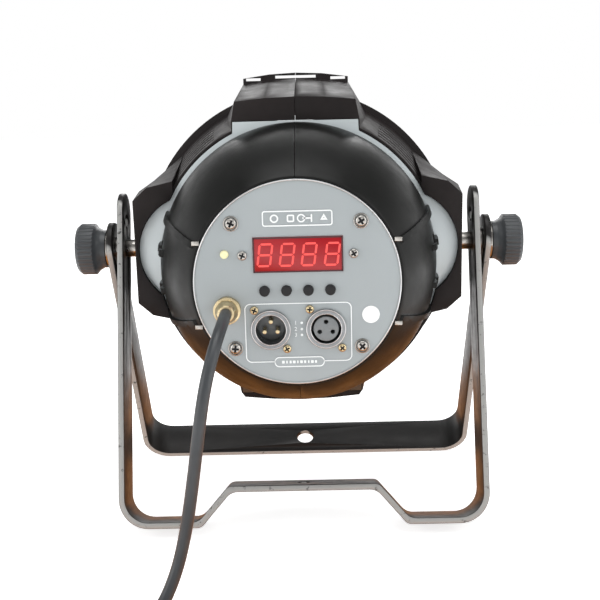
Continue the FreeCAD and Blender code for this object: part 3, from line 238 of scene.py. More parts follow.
PANEL_PAINT = silver_paint("panel_silver_grey", (0.31, 0.34, 0.35), (0.36, 0.39, 0.40), 0.42, 0.15)
# The plate's lower part gets painted shade with a warm reflection, in dark brown.
PLATE_PAINT = silver_paint("plate_silver_grey", (0.47, 0.52, 0.535), (0.56, 0.60, 0.61), 0.40, 0.15,
                          painted_shade_below=AXIS.z - 0.078)
STEEL = bare_metal("zinc_plated_steel", (0.50, 0.48, 0.45), 0.28)
BRASS = bare_metal("pale_brass", (0.68, 0.56, 0.34), 0.28)
NICKEL_DARK = bare_metal("dark_nickel", (0.27, 0.28, 0.29), 0.30)
ALUMINIUM = bare_metal("plain_aluminium", (0.72, 0.73, 0.74), 0.34)


def strap_paint(name, lean):
    """Black powder coat with a painted highlight on the strap edges; lean is in degrees."""
    recipe = Recipe(name)
    facing = recipe.add("ShaderNodeTexCoord", output=1)
    turned = math.radians(lean)
    across = (0.0, math.cos(turned), math.sin(turned))
    dot = recipe.add("ShaderNodeVectorMath", {"operation": "DOT_PRODUCT"}, {0: facing, 1: across}, output=1)
    # Painted highlight: faces that look across the strap turn pale grey and slightly metallic, broken up by
    # noise.
    highlight_breakup = recipe.noise(240.0, 4.0, 0.65)
    edge = dot.size().ramp(0.80, 0.92) * highlight_breakup.ramp(0.26, 0.40)
    drift = recipe.noise(22.0, 3.0, 0.6).ramp(0.3, 0.75)
    black = recipe.blend(drift * 0.6, (0.010, 0.0095, 0.0095), (0.024, 0.021, 0.019))
    recipe.set(Base_Color=recipe.blend(edge, black, (0.36, 0.36, 0.35)), Specular_IOR_Level=0.25)
    recipe.set(Metallic=edge * 0.3)
    recipe.set(Roughness=recipe.noise(130.0, 3.0, 0.6).ramp(0.3, 0.7, 0.34, 0.46))
    recipe.set(Normal=recipe.bump(recipe.noise(1300.0, 2.0, 0.6), 0.5, 0.00009))
    return recipe.material


STAND_LEAN = -16.75
HANG_LEAN = 28.2
STAND_PAINT = strap_paint("stand_strap_paint", STAND_LEAN)
HANG_PAINT = strap_paint("hanger_strap_paint", HANG_LEAN)


# %% [markdown]
# ## Clear and glowing parts
# The front glass and the lenses are clear, with the emitters' pale yellow
# phosphor behind them, and refract through Transmission. The red window could
# be clear too, but what matters is its even red, so it is a solid red with a
# faint painted glow; the segments, which are off, get a painted glow too, and
# the indicator glows faintly.


# %% Clear finishes
def clear(name, colour, roughness):
    recipe = Recipe(name)
    recipe.set(Base_Color=colour, Transmission_Weight=1.0, IOR=1.49)
    recipe.set(Roughness=recipe.noise(40.0, 2.0).ramp(0.3, 0.7, roughness, roughness + 0.03))
    return recipe.material


def glowing(name, colour, light, strength):
    recipe = Recipe(name)
    recipe.set(Base_Color=colour, Roughness=0.3, Emission_Strength=strength)
    patch = recipe.noise(500.0, 2.0).ramp(0.2, 0.8)
    recipe.set(Emission_Color=recipe.blend(patch * 0.3, light, colour))
    return recipe.material


GLASS = clear("clear_glass", (0.93, 0.97, 0.97), 0.01)
LENS = clear("clear_lens", (0.96, 0.97, 0.98), 0.02)
# Painted glow: the segments and the red window glow though the display is off.
SEGMENT_GLOW = glowing("segment_painted_glow_red", (0.60, 0.05, 0.045), (1.0, 0.085, 0.07), 0.5)
WINDOW_RED = glowing("window_red", (0.27, 0.002, 0.006), (0.50, 0.002, 0.010), 0.16)
FRAME_DARK = moulded("window_frame_dark", (0.05, 0.006, 0.009), (0.08, 0.01, 0.014), 0.3, 0.00002)
PHOSPHOR = glowing("phosphor_yellow", (0.85, 0.72, 0.25), (0.9, 0.8, 0.4), 0.05)
INDICATOR = glowing("indicator_milky", (0.76, 0.72, 0.42), (1.0, 0.95, 0.62), 0.10)
INK = moulded("panel_white_ink", (0.84, 0.86, 0.86), (0.76, 0.78, 0.78), 0.5, 0.00001)


def board_finish(name, colour, track):
    """Solder mask with the shadow of the copper tracks beneath."""
    recipe = Recipe(name)
    grid = {"Vector": recipe.place(), "Scale": 90.0, "Mortar Size": 0.05}
    tracks = recipe.add("ShaderNodeTexBrick", {}, grid, output=1)
    recipe.set(Base_Color=recipe.blend(tracks, colour, track), Roughness=0.35)
    return recipe.material


BOARD_GREEN = board_finish("board_green", (0.01, 0.10, 0.035), (0.03, 0.19, 0.07))
BOARD_WHITE = board_finish("board_white", (0.78, 0.79, 0.77), (0.66, 0.68, 0.66))

# %% [markdown]
# ## Finishing the CAD pieces
# The CAD solids have the right shape but knife-sharp edges, where real moulded
# and pressed parts have a small radius that catches the light. Rounding them in
# CAD would make every solid heavier, so it is done here: a Weld modifier joins
# the loose triangles and a small Bevel rounds each sharp edge. The large flat
# panel takes no bevel, because one drawn across its long triangles streaks.


# %% Give each CAD node its finish
def finish_node(name, material, bevel=0.0, angle=30.0):
    piece = NODES[name]
    piece.data.materials.clear()
    piece.data.materials.append(material)
    for face in piece.data.polygons:
        face.material_index = 0
    bpy.ops.object.select_all(action="DESELECT")
    piece.select_set(True)
    bpy.context.view_layer.objects.active = piece
    if bevel:
        weld = piece.modifiers.new("join", "WELD")
        weld.merge_threshold = 0.000002
        round_off = piece.modifiers.new("round", "BEVEL")
        round_off.width = bevel
        round_off.segments = 2
        round_off.limit_method = "ANGLE"
        round_off.angle_limit = math.radians(angle)
        round_off.harden_normals = True
    bpy.ops.object.shade_smooth_by_angle(angle=math.radians(angle))
    return piece


FINISHES = (
    (SHELL, 0.0005, ("front_shell_left", "front_shell_right")),
    (DOME, 0.0004, ("rear_dome_left", "rear_dome_right")),
    (PLATE_PAINT, 0.0003, ("mid_plate",)),
    (PANEL_PAINT, 0.0, ("rear_panel",)),
    (STAND_PAINT, 0.0005, ("stand_bracket",)),
    (HANG_PAINT, 0.0005, ("hanging_bracket",)),
    (STEEL, 0.0002, ("bezel_screws", "panel_standoffs", "heat_sink_posts",
                     "knob_stud_left", "knob_stud_right", "dome_clips", "pivot_insert_left",
                     "pivot_insert_right", "spacer_left", "spacer_right", "washer_left", "washer_right")),
    (BRASS, 0.0002, ("cable_gland", "gland_lock_nut", "male_connector_pins", "plug_pins")),
    (NICKEL_DARK, 0.0003, ("male_connector_shell", "female_connector_shell")),
    (INSERT_GREY, 0.0002, ("male_connector_insert", "female_connector_insert")),
    (SOFT_BLACK, 0.0002, ("display_module", "fan_frame", "fan_rotor", "button_switches", "button_1",
                          "button_2", "button_3", "button_4", "front_bezel", "lens_gasket")),
    (KNOB, 0.0003, ("knob_left", "knob_right")),
    (RUBBER, 0.0, ("power_cord", "cord_coil", "cord_tail", "plug_body")),
    (WINDOW_RED, 0.0002, ("display_window",)),
    (INDICATOR, 0.0, ("indicator_led",)),
    (WHITE_PAPER, 0.0, ("round_label",)),
    (GLASS, 0.0, ("front_glass",)),
    (LENS, 0.0, ("led_lenses",)),
    (PHOSPHOR, 0.0, ("led_chips",)),
    (BOARD_WHITE, 0.0, ("led_board",)),
    (BOARD_GREEN, 0.0, ("control_board", "power_supply_board")),
    (ALUMINIUM, 0.0, ("heat_sink",)),
    (BRASS, 0.0003, ("power_supply_parts",)),
)
for material, bevel, names in FINISHES:
    for name in names:
        finish_node(name, material, bevel)
print("finished", sum(len(names) for material, bevel, names in FINISHES), "CAD nodes")

# %% [markdown]
# ## The panel's own frame
# Everything on the panel is placed in millimetres from the light axis: across,
# then up. Flat pieces are modelled lying on the ground plane, where primitives
# are easiest to shape, and `on_panel` then stands them against the panel, a
# little proud of the sheet, with one matrix that is baked into the mesh. The
# numbers could be set on each object instead, but a finished piece has to sit
# at the origin, so its place belongs in its mesh.


# %% Helpers for flat pieces
def active_only(piece):
    bpy.ops.object.select_all(action="DESELECT")
    piece.select_set(True)
    bpy.context.view_layer.objects.active = piece
    return piece


def new_primitive(maker, name, **settings):
    bpy.ops.object.select_all(action="DESELECT")
    maker(**settings)
    piece = bpy.context.object
    piece.name = name
    return piece


STAND_UP = Matrix(((1, 0, 0), (0, 0, -1), (0, 1, 0))).to_4x4()
INK_THICK = 0.12


def on_panel(piece, across, up, proud=0.0, turn=0.0):
    """Stand a flat piece against the panel and bake its place into the mesh."""
    bpy.context.view_layer.update()
    spot = Matrix.Translation(Vector((across * MM, PANEL_Y - proud * MM, AXIS.z + up * MM)))
    turned = Matrix.Rotation(math.radians(turn), 4, "Y")
    piece.data.transform(spot @ turned @ STAND_UP @ piece.matrix_world)
    piece.matrix_world = Matrix()
    return piece


def raise_sheet(ring, thick):
    """In edit mode: keep only a border of width ring, if any, and give it thickness."""
    if ring:
        bpy.ops.mesh.inset(thickness=ring * MM)
        bpy.ops.mesh.delete(type="ONLY_FACE")
        bpy.ops.mesh.select_all(action="SELECT")
    bpy.ops.mesh.extrude_region_move(TRANSFORM_OT_translate={"value": (0.0, 0.0, thick * MM)})
    bpy.ops.mesh.select_all(action="SELECT")
    bpy.ops.mesh.normals_make_consistent(inside=False)
    bpy.ops.object.mode_set(mode="OBJECT")


def rounded_plate(name, width, height, corner, ring=0.0, thick=INK_THICK):
    """A flat plate with rounded corners, or only its outline where ring is given."""
    piece = new_primitive(bpy.ops.mesh.primitive_plane_add, name, size=1.0)
    piece.scale = (width * MM, height * MM, 1.0)
    bpy.ops.object.transform_apply(location=False, rotation=False, scale=True)
    bpy.ops.object.mode_set(mode="EDIT")
    bpy.ops.mesh.select_all(action="SELECT")
    if corner:
        bpy.ops.mesh.bevel(offset=corner * MM, segments=6, affect="VERTICES")
        bpy.ops.mesh.select_all(action="SELECT")
    raise_sheet(ring, thick)
    return piece


def regular_outline(name, corners, radius, ring):
    """The border of a regular shape, such as a ring or a triangle."""
    piece = new_primitive(bpy.ops.mesh.primitive_circle_add, name, vertices=corners, radius=radius * MM,
                          fill_type="NGON")
    bpy.ops.object.mode_set(mode="EDIT")
    bpy.ops.mesh.select_all(action="SELECT")
    raise_sheet(ring, INK_THICK)
    return piece


def joined(name, pieces):
    bpy.ops.object.select_all(action="DESELECT")
    for piece in pieces:
        piece.select_set(True)
    bpy.context.view_layer.objects.active = pieces[0]
    if len(pieces) > 1:
        bpy.ops.object.join()
    pieces[0].name = name
    return pieces[0]


def mounted(piece, material, slot, *nodes):
    """One finish, one body and the CAD nodes it stands for; slot is not used."""
    piece.data.materials.clear()
    piece.data.materials.append(material)
    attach(piece, "housing")
    if nodes:
        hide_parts(*nodes)
    return piece


# %% [markdown]
# ## Cross-head screws
# The panel is held by pan-head screws on bright washers. A head is a short
# cylinder whose rim is beveled round, and the cross is cut by a Boolean with
# two crossed bars. One screw is modelled for each size and then copied, each
# copy turned differently, as screws are left by the screwdriver. A bump would
# be cheaper than a cut cross, but it would not show in the exported mesh.


# %% Model a screw and copy it to its places
CROSS_LONG = 0.66
CROSS_WIDE = 0.2
CROSS_DEEP = 0.55
WASHER_ROUND = 0.45
SEAT = 0.05
FIRST_TURN, NEXT_TURN = 23.0, 37.0


def screw_head(name, width, height, washer):
    """One pan head with its cross; washer is its ring's diameter, or 0."""
    head = new_primitive(bpy.ops.mesh.primitive_cylinder_add, name, vertices=32, radius=width / 2 * MM,
                         depth=height * MM, location=(0.0, 0.0, height / 2 * MM))
    bpy.ops.object.mode_set(mode="EDIT")
    bpy.ops.mesh.select_all(action="DESELECT")
    bpy.ops.object.mode_set(mode="OBJECT")
    for edge in head.data.edges:
        ends = [head.data.vertices[index].co.z for index in edge.vertices]
        edge.select = min(ends) > height * 0.4 * MM
    bpy.ops.object.mode_set(mode="EDIT")
    bpy.ops.mesh.select_mode(type="EDGE")
    bpy.ops.mesh.bevel(offset=height * 0.7 * MM, segments=4, affect="EDGES")
    bpy.ops.object.mode_set(mode="OBJECT")
    bars = []
    for long, wide in ((CROSS_LONG, CROSS_WIDE), (CROSS_WIDE, CROSS_LONG)):
        bar = new_primitive(bpy.ops.mesh.primitive_cube_add, name + "_bar", size=1.0,
                            location=(0.0, 0.0, height * MM))
        bar.scale = (width * long * MM, width * wide * MM, height * 2 * CROSS_DEEP * MM)
        bpy.ops.object.transform_apply(location=True, rotation=False, scale=True)
        bars.append(bar)
    for bar in bars:
        active_only(head)
        cutter = head.modifiers.new("cross", "BOOLEAN")
        cutter.operation = "DIFFERENCE"
        cutter.solver = "EXACT"
        cutter.object = bar
        bpy.ops.object.modifier_apply(modifier="cross")
        bpy.data.objects.remove(bar)
    active_only(head)
    bpy.ops.object.transform_apply(location=True, rotation=False, scale=False)
    if washer:
        ring = new_primitive(bpy.ops.mesh.primitive_torus_add, name + "_ring", major_radius=washer / 2 * MM,
                             minor_radius=WASHER_ROUND * MM, major_segments=40, minor_segments=8)
        head = joined(name, [head, ring])
    active_only(head)
    bpy.ops.object.shade_smooth_by_angle(angle=math.radians(40))
    return head


def paint_cross_shade(heads, spots, width, height):
    """Paint shade into each cross: the faces inside it get the second, black material."""
    cross_floor = PANEL_Y - (SEAT + height * 0.47) * MM
    reach = width * 0.34 * MM
    for face in heads.data.polygons:
        x, y, z = face.center
        away = min(math.hypot(x - across * MM, z - AXIS.z - up * MM) for across, up in spots)
        walled = abs(face.normal.y) < 0.5 or y > cross_floor
        face.material_index = 1 if away < reach and walled else 0


def screws(name, spots, width, height, washer, material, slot, node):
    """Copies of one screw at their places, joined into one piece."""
    pattern = screw_head(name + "_pattern", width, height, washer)
    copies = []
    for number, (across, up) in enumerate(spots):
        copy = pattern.copy()
        copy.data = pattern.data.copy()
        bpy.context.scene.collection.objects.link(copy)
        copies.append(on_panel(copy, across, up, SEAT, FIRST_TURN + NEXT_TURN * number))
    bpy.data.objects.remove(pattern)
    heads = mounted(joined(name, copies), material, slot, node)
    # The second material is black, as painted shade inside the crosses.
    heads.data.materials.append(SOFT_BLACK)
    paint_cross_shade(heads, spots, width, height)
    print(name, len(spots), "screws")


CORNER_SPOTS = [(-38.0, 36.6), (38.0, 36.6), (-38.0, -38.7), (38.0, -38.7)]
DISPLAY_SPOTS = [(-32.0, 17.5), (33.6, 17.5)]
CONNECTOR_SPOTS = [(-26.0, -15.6), (-7.0, -39.6), (7.0, -15.6), (26.0, -39.6)]
screws("corner_screw_heads", CORNER_SPOTS, 6.6, 1.9, 8.2, STEEL, "screw_steel", "panel_screws")
screws("display_screw_heads", DISPLAY_SPOTS, 5.6, 1.6, 0.0, STEEL, "screw_steel", "display_screws")
screws("connector_screw_heads", CONNECTOR_SPOTS, 5.0, 1.4, 0.0, BRASS, "screw_brass", "connector_screws")

# %% [markdown]
# ## Printing on the panel
# White silk-screen ink: a rounded box with four plain symbols, a rounded frame
# around the two connectors with a title pill at its foot, and the numbers 1,
# 2 and 3 between them. The symbols and the title are generic shapes of their
# own. It could be a painted mask in the panel's material, but a very thin
# solid has a true edge and is a piece of its own.

# %% Frames and symbols
INK_PROUD = 0.02
FRAME_LOW, FRAME_HIGH = -47.8, -11.5
FRAME_WIDE = 63.8
SYMBOL_ROW = 38.9
SYMBOL_RADIUS = 2.5
PLATES = (
    # name, width, height, corner, border or 0, across, up
    ("symbol_box", 41.2, 9.2, 1.6, 0.75, 0.9, SYMBOL_ROW),
    ("connector_frame", FRAME_WIDE, FRAME_HIGH - FRAME_LOW, 3.6, 0.6, 0.0, (FRAME_HIGH + FRAME_LOW) / 2),
    ("title_pill", 30.2, 6.4, 3.0, 0.75, 0.2, FRAME_LOW),
    ("lamp_square", 4.4, 4.4, 1.0, 0.9, -3.0, SYMBOL_ROW),
    ("plug_bar", 5.2, 0.9, 0.4, 0.0, 6.4, SYMBOL_ROW),
    ("plug_end", 0.9, 4.6, 0.4, 0.0, 9.2, SYMBOL_ROW),
)
OUTLINES = (
    # name, corners, border, across
    ("ring_mark", 24, 0.9, -12.6),
    ("lens_mark", 24, 0.8, 3.2),
    ("peak_mark", 3, 1.0, 16.4),
)
prints = []
for name, width, height, corner, border, across, up in PLATES:
    prints.append(on_panel(rounded_plate(name, width, height, corner, border), across, up, INK_PROUD))
for name, corners, border, across in OUTLINES:
    mark = regular_outline(name, corners, SYMBOL_RADIUS, border)
    prints.append(on_panel(mark, across, SYMBOL_ROW, INK_PROUD))
print("panel printing starts with", len(prints), "plates and outlines")

# %% [markdown]
# The title is a row of plain dashes on a patch of panel paint, which breaks the
# frame's line inside the pill as the screen's mask does. The pin numbers are
# text objects, made a mesh before they are placed, each with a small dot.

# %% Title dashes and pin numbers
PATCH_THICK = 0.15
DASHES = (1.6, 0.8, 1.2, 1.6, 0.8, 1.6, 1.2, 0.8, 1.6, 1.2)
FIRST_DASH, DASH_PITCH, DASH_HIGH = -9.6, 2.18, 1.7
NUMBER_SIZE, NUMBER_ACROSS, DOT_ACROSS, DOT_SIZE = 3.4, -1.6, 2.0, 1.5
PIN_ROWS = (("1", -23.8), ("2", -27.6), ("3", -31.2))
for place, length in enumerate(DASHES):
    dash = rounded_plate("title_dash_%d" % place, length, DASH_HIGH, 0.2)
    across = FIRST_DASH + DASH_PITCH * place
    prints.append(on_panel(dash, across, FRAME_LOW, INK_PROUD + PATCH_THICK))
for number, up in PIN_ROWS:
    text = new_primitive(bpy.ops.object.text_add, "pin_number_" + number)
    text.data.body = number
    text.data.size = NUMBER_SIZE * MM
    text.data.align_x = "CENTER"
    text.data.align_y = "CENTER"
    text.data.extrude = INK_THICK / 2 * MM
    bpy.ops.object.convert(target="MESH")
    prints.append(on_panel(bpy.context.object, NUMBER_ACROSS, up, INK_PROUD))
    dot = rounded_plate("pin_dot_" + number, DOT_SIZE, DOT_SIZE, 0.6)
    prints.append(on_panel(dot, DOT_ACROSS, up, INK_PROUD))
printing = mounted(joined("panel_printing", prints), INK, "label_white")
pill_ground = rounded_plate("title_pill_ground", 28.9, 5.1, 2.4, thick=PATCH_THICK)
mounted(on_panel(pill_ground, 0.2, FRAME_LOW, INK_PROUD), PANEL_PAINT, "panel_grey")
print("panel printing has", len(printing.data.polygons), "faces")

# %% [markdown]
# ## Four-digit display
# Four slanted seven-segment digits show in the red window. One segment is a bar
# with its ends beveled to points, seven make a digit, and a shear matrix leans
# it. They lie on the window rather than behind it, because the bars, which carry
# a painted glow, then stay crisp without a ray through coloured plastic. A slim
# dark frame lines the window's edge.

# %% Digits and window frame
WINDOW_LOW, WINDOW_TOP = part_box("display_window")
WINDOW_X = (WINDOW_LOW[0] + WINDOW_TOP[0]) / 2 / MM
WINDOW_UP = ((WINDOW_LOW[2] + WINDOW_TOP[2]) / 2 - AXIS.z) / MM
WINDOW_PROUD = (PANEL_Y - WINDOW_LOW[1]) / MM
WINDOW_SIZE = ((WINDOW_TOP[0] - WINDOW_LOW[0]) / MM, (WINDOW_TOP[2] - WINDOW_LOW[2]) / MM)
DIGIT_CENTRES = (-18.6, -5.5, 7.4, 21.0)
DIGIT_SHIFT = -0.8
DIGIT_WIDE, DIGIT_HIGH, BAR_WIDE, BAR_GAP = 7.4, 12.9, 1.25, 0.7
LEAN = Matrix(((1, 0.14, 0, 0), (0, 1, 0, 0), (0, 0, 1, 0), (0, 0, 0, 1)))
SEGMENTS = [(0.0, DIGIT_HIGH / 2, False), (0.0, 0.0, False), (0.0, -DIGIT_HIGH / 2, False)]
SEGMENTS += [(side * DIGIT_WIDE / 2, level * DIGIT_HIGH / 4, True) for side in (-1, 1) for level in (-1, 1)]


def segment(name, length):
    """A lying bar whose upright edges are beveled until its ends are points."""
    bar = rounded_plate(name, length, BAR_WIDE, 0.0, thick=0.1)
    active_only(bar)
    bpy.ops.object.mode_set(mode="EDIT")
    bpy.ops.mesh.select_mode(type="EDGE")
    bpy.ops.mesh.select_all(action="DESELECT")
    bpy.ops.object.mode_set(mode="OBJECT")
    for edge in bar.data.edges:
        first, last = (bar.data.vertices[index].co for index in edge.vertices)
        edge.select = abs(first.z - last.z) > 0.05 * MM
    bpy.ops.object.mode_set(mode="EDIT")
    bpy.ops.mesh.bevel(offset=BAR_WIDE * 0.45 * MM, segments=1, affect="EDGES")
    bpy.ops.object.mode_set(mode="OBJECT")
    return bar


bars = []
for digit, centre in enumerate(DIGIT_CENTRES):
    for across, up, upright in SEGMENTS:
        length = (DIGIT_HIGH / 2 if upright else DIGIT_WIDE) - BAR_GAP
        bar = segment("digit_%d_bar" % digit, length)
        turn = Matrix.Rotation(math.radians(90.0 if upright else 0.0), 4, "Z")
        bar.data.transform(LEAN @ Matrix.Translation((across * MM, up * MM, 0.0)) @ turn)
        bars.append(on_panel(bar, centre + DIGIT_SHIFT + WINDOW_X, WINDOW_UP, WINDOW_PROUD))
mounted(joined("display_digits", bars), SEGMENT_GLOW, "display_red")
window_frame = rounded_plate("window_frame", WINDOW_SIZE[0], WINDOW_SIZE[1], 0.3, ring=0.9, thick=0.25)
mounted(on_panel(window_frame, WINDOW_X, WINDOW_UP, WINDOW_PROUD), FRAME_DARK, "display_body")
print("digits", len(bars), "bars; window", WINDOW_SIZE, "mm")

# %% [markdown]
# ## Bright turned rims
# Each connector shell has a fine machined edge that catches the light, and the
# panel's pressed rim does too. A bevel on the CAD shells would be too narrow to
# show, so each edge gets a thin torus that sits on the CAD rim.

# %% Rim rings
RIM_RADII = (11.6, 9.3)
RIM_ROUND = 0.28
PANEL_RIM_ROUND = 0.4


def bright_ring(name, radius, thickness, around):
    """A torus lying flat; radius is in metres, thickness in millimetres."""
    ring = new_primitive(bpy.ops.mesh.primitive_torus_add, name, major_radius=radius,
                         minor_radius=thickness * MM, major_segments=around, minor_segments=8)
    bpy.ops.object.shade_smooth()
    return ring


for word in ("male", "female"):
    low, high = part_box(word + "_connector_shell")
    centre = ((low[0] + high[0]) / 2 / MM, ((low[2] + high[2]) / 2 - AXIS.z) / MM)
    proud = (PANEL_Y - low[1]) / MM
    rings = [bright_ring(word + "_rim", radius * MM, RIM_ROUND, 72) for radius in RIM_RADII]
    rings = [on_panel(ring, centre[0], centre[1], proud) for ring in rings]
    mounted(joined(word + "_connector_rims", rings), ALUMINIUM, "connector_metal")
panel_low, panel_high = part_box("rear_panel")
PANEL_RADIUS = (panel_high[0] - panel_low[0]) / 2
rim = bright_ring("panel_rim_line", PANEL_RADIUS - PANEL_RIM_ROUND * MM, PANEL_RIM_ROUND, 144)
mounted(on_panel(rim, 0.0, 0.0, -0.05), ALUMINIUM, "panel_grey")
print("panel radius", PANEL_RADIUS)

# %% [markdown]
# ## The lead
# The lead is a fixed length of round cable that leaves the gland, hangs, and
# lies in a coil with its plug. It could be simulated as a rope, but its rest
# shape is known, so its route is a short list of given points. The
# coil's turns are added by a loop: their radius steps in and out, and the upper
# turns climb by one cable's width.

# %% Route, coil and plug end
ROUTE = [
    (-42.0, -109.389, 162.404),
    (-42.0, -131.489, 162.404),
    (-45.5, -150.489, 152.5),
    (-50.5, -161.489, 133.0),
    (-54.5, -165.989, 107.5),
    (-58.5, -166.989, 81.0),
    (-63.0, -168.489, 55.5),
    (-69.0, -172.489, 32.0),
    (-78.0, -180.989, 14.0),
    (-91.5, -192.489, 4.2),
    (-110.0, -201.989, 3.5),
]
CORD_WIDTH = 7.0
COIL_RADIUS = 38.5
coil_low, coil_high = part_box("cord_coil")
COIL_CENTRE = (Vector(coil_low) + Vector(coil_high)) / 2 / MM
PLUG_END = Vector((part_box("plug_body")[0][0] / MM, COIL_CENTRE.y - COIL_RADIUS, CORD_WIDTH * 1.5))


def eased(amount):
    """A smooth climb from 0 to 1, level before 0 and after 1."""
    return 0.5 - 0.5 * math.cos(min(1.0, max(0.0, amount)) * math.pi)


COIL_TURNS = 4
POINTS_A_TURN = 14
TURN_INSET = 3.4
STEP_INWARDS, STEP_OUTWARDS, STEP_SHARE = 0.25, 2.2, 0.9
CLIMB_FROM, CLIMB_TURNS = 1.6, 0.5


def coil_points():
    """Neat turns: an outer and an inner one below, and two on top."""
    start = math.atan2(ROUTE[-1][1] - COIL_CENTRE.y, ROUTE[-1][0] - COIL_CENTRE.x)
    end = -math.pi / 2 + 2 * math.pi * COIL_TURNS
    turns = (end - start) / (2 * math.pi)
    steps = int(POINTS_A_TURN * turns)
    points = []
    for step in range(1, steps + 1):
        share = step / steps
        angle = start + (end - start) * share
        climb = min(1.0, max(0.0, (share * turns - CLIMB_FROM) / CLIMB_TURNS))
        wave = eased(share * turns * STEP_SHARE - STEP_INWARDS)
        back = eased(share * turns * STEP_SHARE - STEP_OUTWARDS)
        radius = COIL_RADIUS - TURN_INSET * wave + TURN_INSET * back
        across = COIL_CENTRE.x + radius * math.cos(angle)
        away = COIL_CENTRE.y + radius * math.sin(angle)
        points.append((across, away, CORD_WIDTH * (0.5 + climb)))
    return points


# %% [markdown]
# One NURBS spline takes all the points as its controls, so the cable bends
# softly and never shows a corner. A bevel depth gives it its thickness. The
# length is measured on the same spline without its thickness.

# %% Make the cable as one smooth curve
def cable(name, points, width):
    bpy.ops.object.select_all(action="DESELECT")
    curve = bpy.data.curves.new(name, "CURVE")
    curve.dimensions = "3D"
    curve.bevel_depth = width / 2 * MM
    curve.bevel_resolution = 7
    curve.resolution_u = 10
    curve.use_fill_caps = True
    line = curve.splines.new("NURBS")
    line.points.add(len(points) - 1)
    for control, spot in zip(line.points, points):
        control.co = (spot[0] * MM, spot[1] * MM, spot[2] * MM, 1.0)
    line.order_u = 3
    line.use_endpoint_u = True
    piece = bpy.data.objects.new(name, curve)
    bpy.context.scene.collection.objects.link(piece)
    curve.materials.append(RUBBER)
    return piece


TAIL = [
    (COIL_CENTRE.x + 9.0, COIL_CENTRE.y - COIL_RADIUS, CORD_WIDTH * 1.5),
    (COIL_CENTRE.x + 20.0, COIL_CENTRE.y - COIL_RADIUS, CORD_WIDTH * 1.5),
    (PLUG_END.x, PLUG_END.y, PLUG_END.z),
]
lead = cable("mains_lead", ROUTE + coil_points() + TAIL, CORD_WIDTH)


def spline_length(piece):
    """Length of the curve's own line, in metres."""
    spine = piece.copy()
    spine.data = piece.data.copy()
    spine.data.bevel_depth = 0.0
    line = bpy.data.meshes.new_from_object(spine)
    spots = [vertex.co for vertex in line.vertices]
    bpy.data.objects.remove(spine)
    return sum((after - before).length for before, after in zip(spots, spots[1:]))


LEAD_LENGTH = spline_length(lead)
print("lead length %.3f m" % LEAD_LENGTH)
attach(lead, "housing")
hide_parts("power_cord", "cord_coil", "cord_tail")

# %% [markdown]
# ## Studio
# A pale floor that glows a little, so that it stays white to the horizon and
# its shadows stay faint. Black plastic shows what it reflects, so a warm card
# lies on the floor under the light: only reflections see it, and it gives the
# underside the brown of a wooden table. A wooden floor would do the same, but
# it would colour the whole picture.

# %% Floor and warm card
bpy.ops.object.select_all(action="DESELECT")
bpy.ops.mesh.primitive_plane_add(size=12.0, location=(0.0, 0.0, 0.0))
floor = bpy.context.object
floor.name = "studio_floor"
floor_recipe = Recipe("studio_floor")
floor_recipe.set(Base_Color=(0.93, 0.93, 0.93), Roughness=0.9, Specular_IOR_Level=0.0)
floor_recipe.set(Emission_Color=(1.0, 1.0, 1.0), Emission_Strength=0.72)
floor.data.materials.append(floor_recipe.material)

CARD_SIDE = 0.62
warm_card = new_primitive(bpy.ops.mesh.primitive_plane_add, "warm_card", size=CARD_SIDE,
                          location=(0.0, 0.02, 0.0004))
card_recipe = Recipe("warm_card")
card_recipe.set(Base_Color=(0.0, 0.0, 0.0), Emission_Color=(1.0, 0.36, 0.06))
card_recipe.set(Emission_Strength=0.9)
warm_card.data.materials.append(card_recipe.material)
warm_card.visible_camera = False
warm_card.visible_diffuse = False
warm_card.visible_shadow = False
warm_card.visible_transmission = False
print("warm card side", CARD_SIDE)

# %% [markdown]
# The sky is white near the horizon, where it is the backdrop, and dim higher
# up, where black plastic would mirror it and turn grey. Its strength is a
# Map Range of the direction's upward part. Four soft area lights then light
# the object: a large one above, one each side and one in front of the lens.

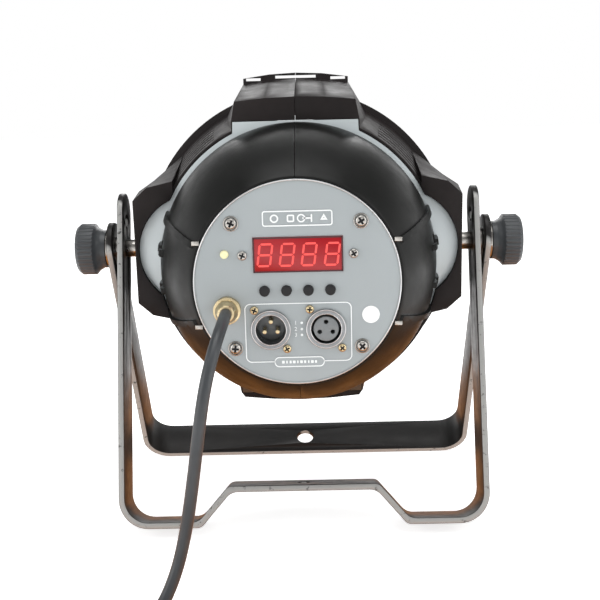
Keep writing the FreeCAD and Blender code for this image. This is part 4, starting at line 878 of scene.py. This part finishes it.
# %% Sky and lights
WHITE_UP_TO, DIM_FROM = 0.22, 0.42
WHITE_SKY, DIM_SKY = 1.0, 0.30
world = bpy.data.worlds.new("studio")
bpy.context.scene.world = world
world.use_nodes = True
sky = world.node_tree
heading = sky.nodes.new("ShaderNodeTexCoord")
upward = sky.nodes.new("ShaderNodeSeparateXYZ")
fade = sky.nodes.new("ShaderNodeMapRange")
sky.links.new(heading.outputs["Generated"], upward.inputs[0])
sky.links.new(upward.outputs[2], fade.inputs[0])
for entry, number in enumerate((WHITE_UP_TO, DIM_FROM, WHITE_SKY, DIM_SKY), start=1):
    fade.inputs[entry].default_value = number
sky.links.new(fade.outputs[0], sky.nodes["Background"].inputs["Strength"])
sky.nodes["Background"].inputs["Color"].default_value = (1.0, 1.0, 1.0, 1.0)



def soft_light(name, spot, aim, size, power):
    """A rectangular area light turned towards a point."""
    bpy.ops.object.light_add(type="AREA", location=spot)
    lamp = bpy.context.object
    lamp.name = name
    lamp.data.shape = "RECTANGLE"
    lamp.data.size = size[0]
    lamp.data.size_y = size[1]
    lamp.data.energy = power
    lamp.rotation_euler = (Vector(aim) - Vector(spot)).to_track_quat("-Z", "Y").to_euler()
    return lamp


soft_light("top_light", (0.0, -0.2, 1.5), PIVOT, (1.2, 1.0), 11.0)
soft_light("left_light", (-1.3, -0.7, 0.7), PIVOT, (0.6, 1.0), 7.0)
soft_light("right_light", (1.3, -0.6, 0.8), PIVOT, (0.6, 1.0), 7.0)
soft_light("front_light", (0.0, 1.5, 0.9), PIVOT, (1.0, 0.8), 8.0)

# %% [markdown]
# ## Camera
# The camera stands behind the light and a little above it. Its heading, dip
# and roll are three angles; its axes are worked out from them and made a
# matrix, which is steadier than aiming by hand.

# %% Camera
CAMERA_SPOT = PIVOT + Vector((9.3, -654.5, 104.0)) * MM
YAW = math.radians(-0.82)
PITCH = math.radians(12.35)
ROLL = math.radians(1.47)
SENSOR_WIDTH = 36.0
LENS_LENGTH = 57.672


def camera_turn():
    """Camera axes from its heading, its dip and its roll."""
    ahead = Vector((math.sin(YAW) * math.cos(PITCH), math.cos(YAW) * math.cos(PITCH), -math.sin(PITCH)))
    right = Vector((math.cos(YAW), -math.sin(YAW), 0.0))
    up = right.cross(ahead)
    tilted_right = right * math.cos(ROLL) - up * math.sin(ROLL)
    tilted_up = right * math.sin(ROLL) + up * math.cos(ROLL)
    return Matrix((tilted_right, tilted_up, -ahead)).transposed().to_euler()


bpy.ops.object.camera_add(location=CAMERA_SPOT, rotation=camera_turn())
camera = bpy.context.object
camera.name = "studio_camera"
camera.data.sensor_width = SENSOR_WIDTH
camera.data.lens = LENS_LENGTH
bpy.context.scene.camera = camera
bpy.context.scene.view_settings.view_transform = "Standard"
print("camera at", CAMERA_SPOT)
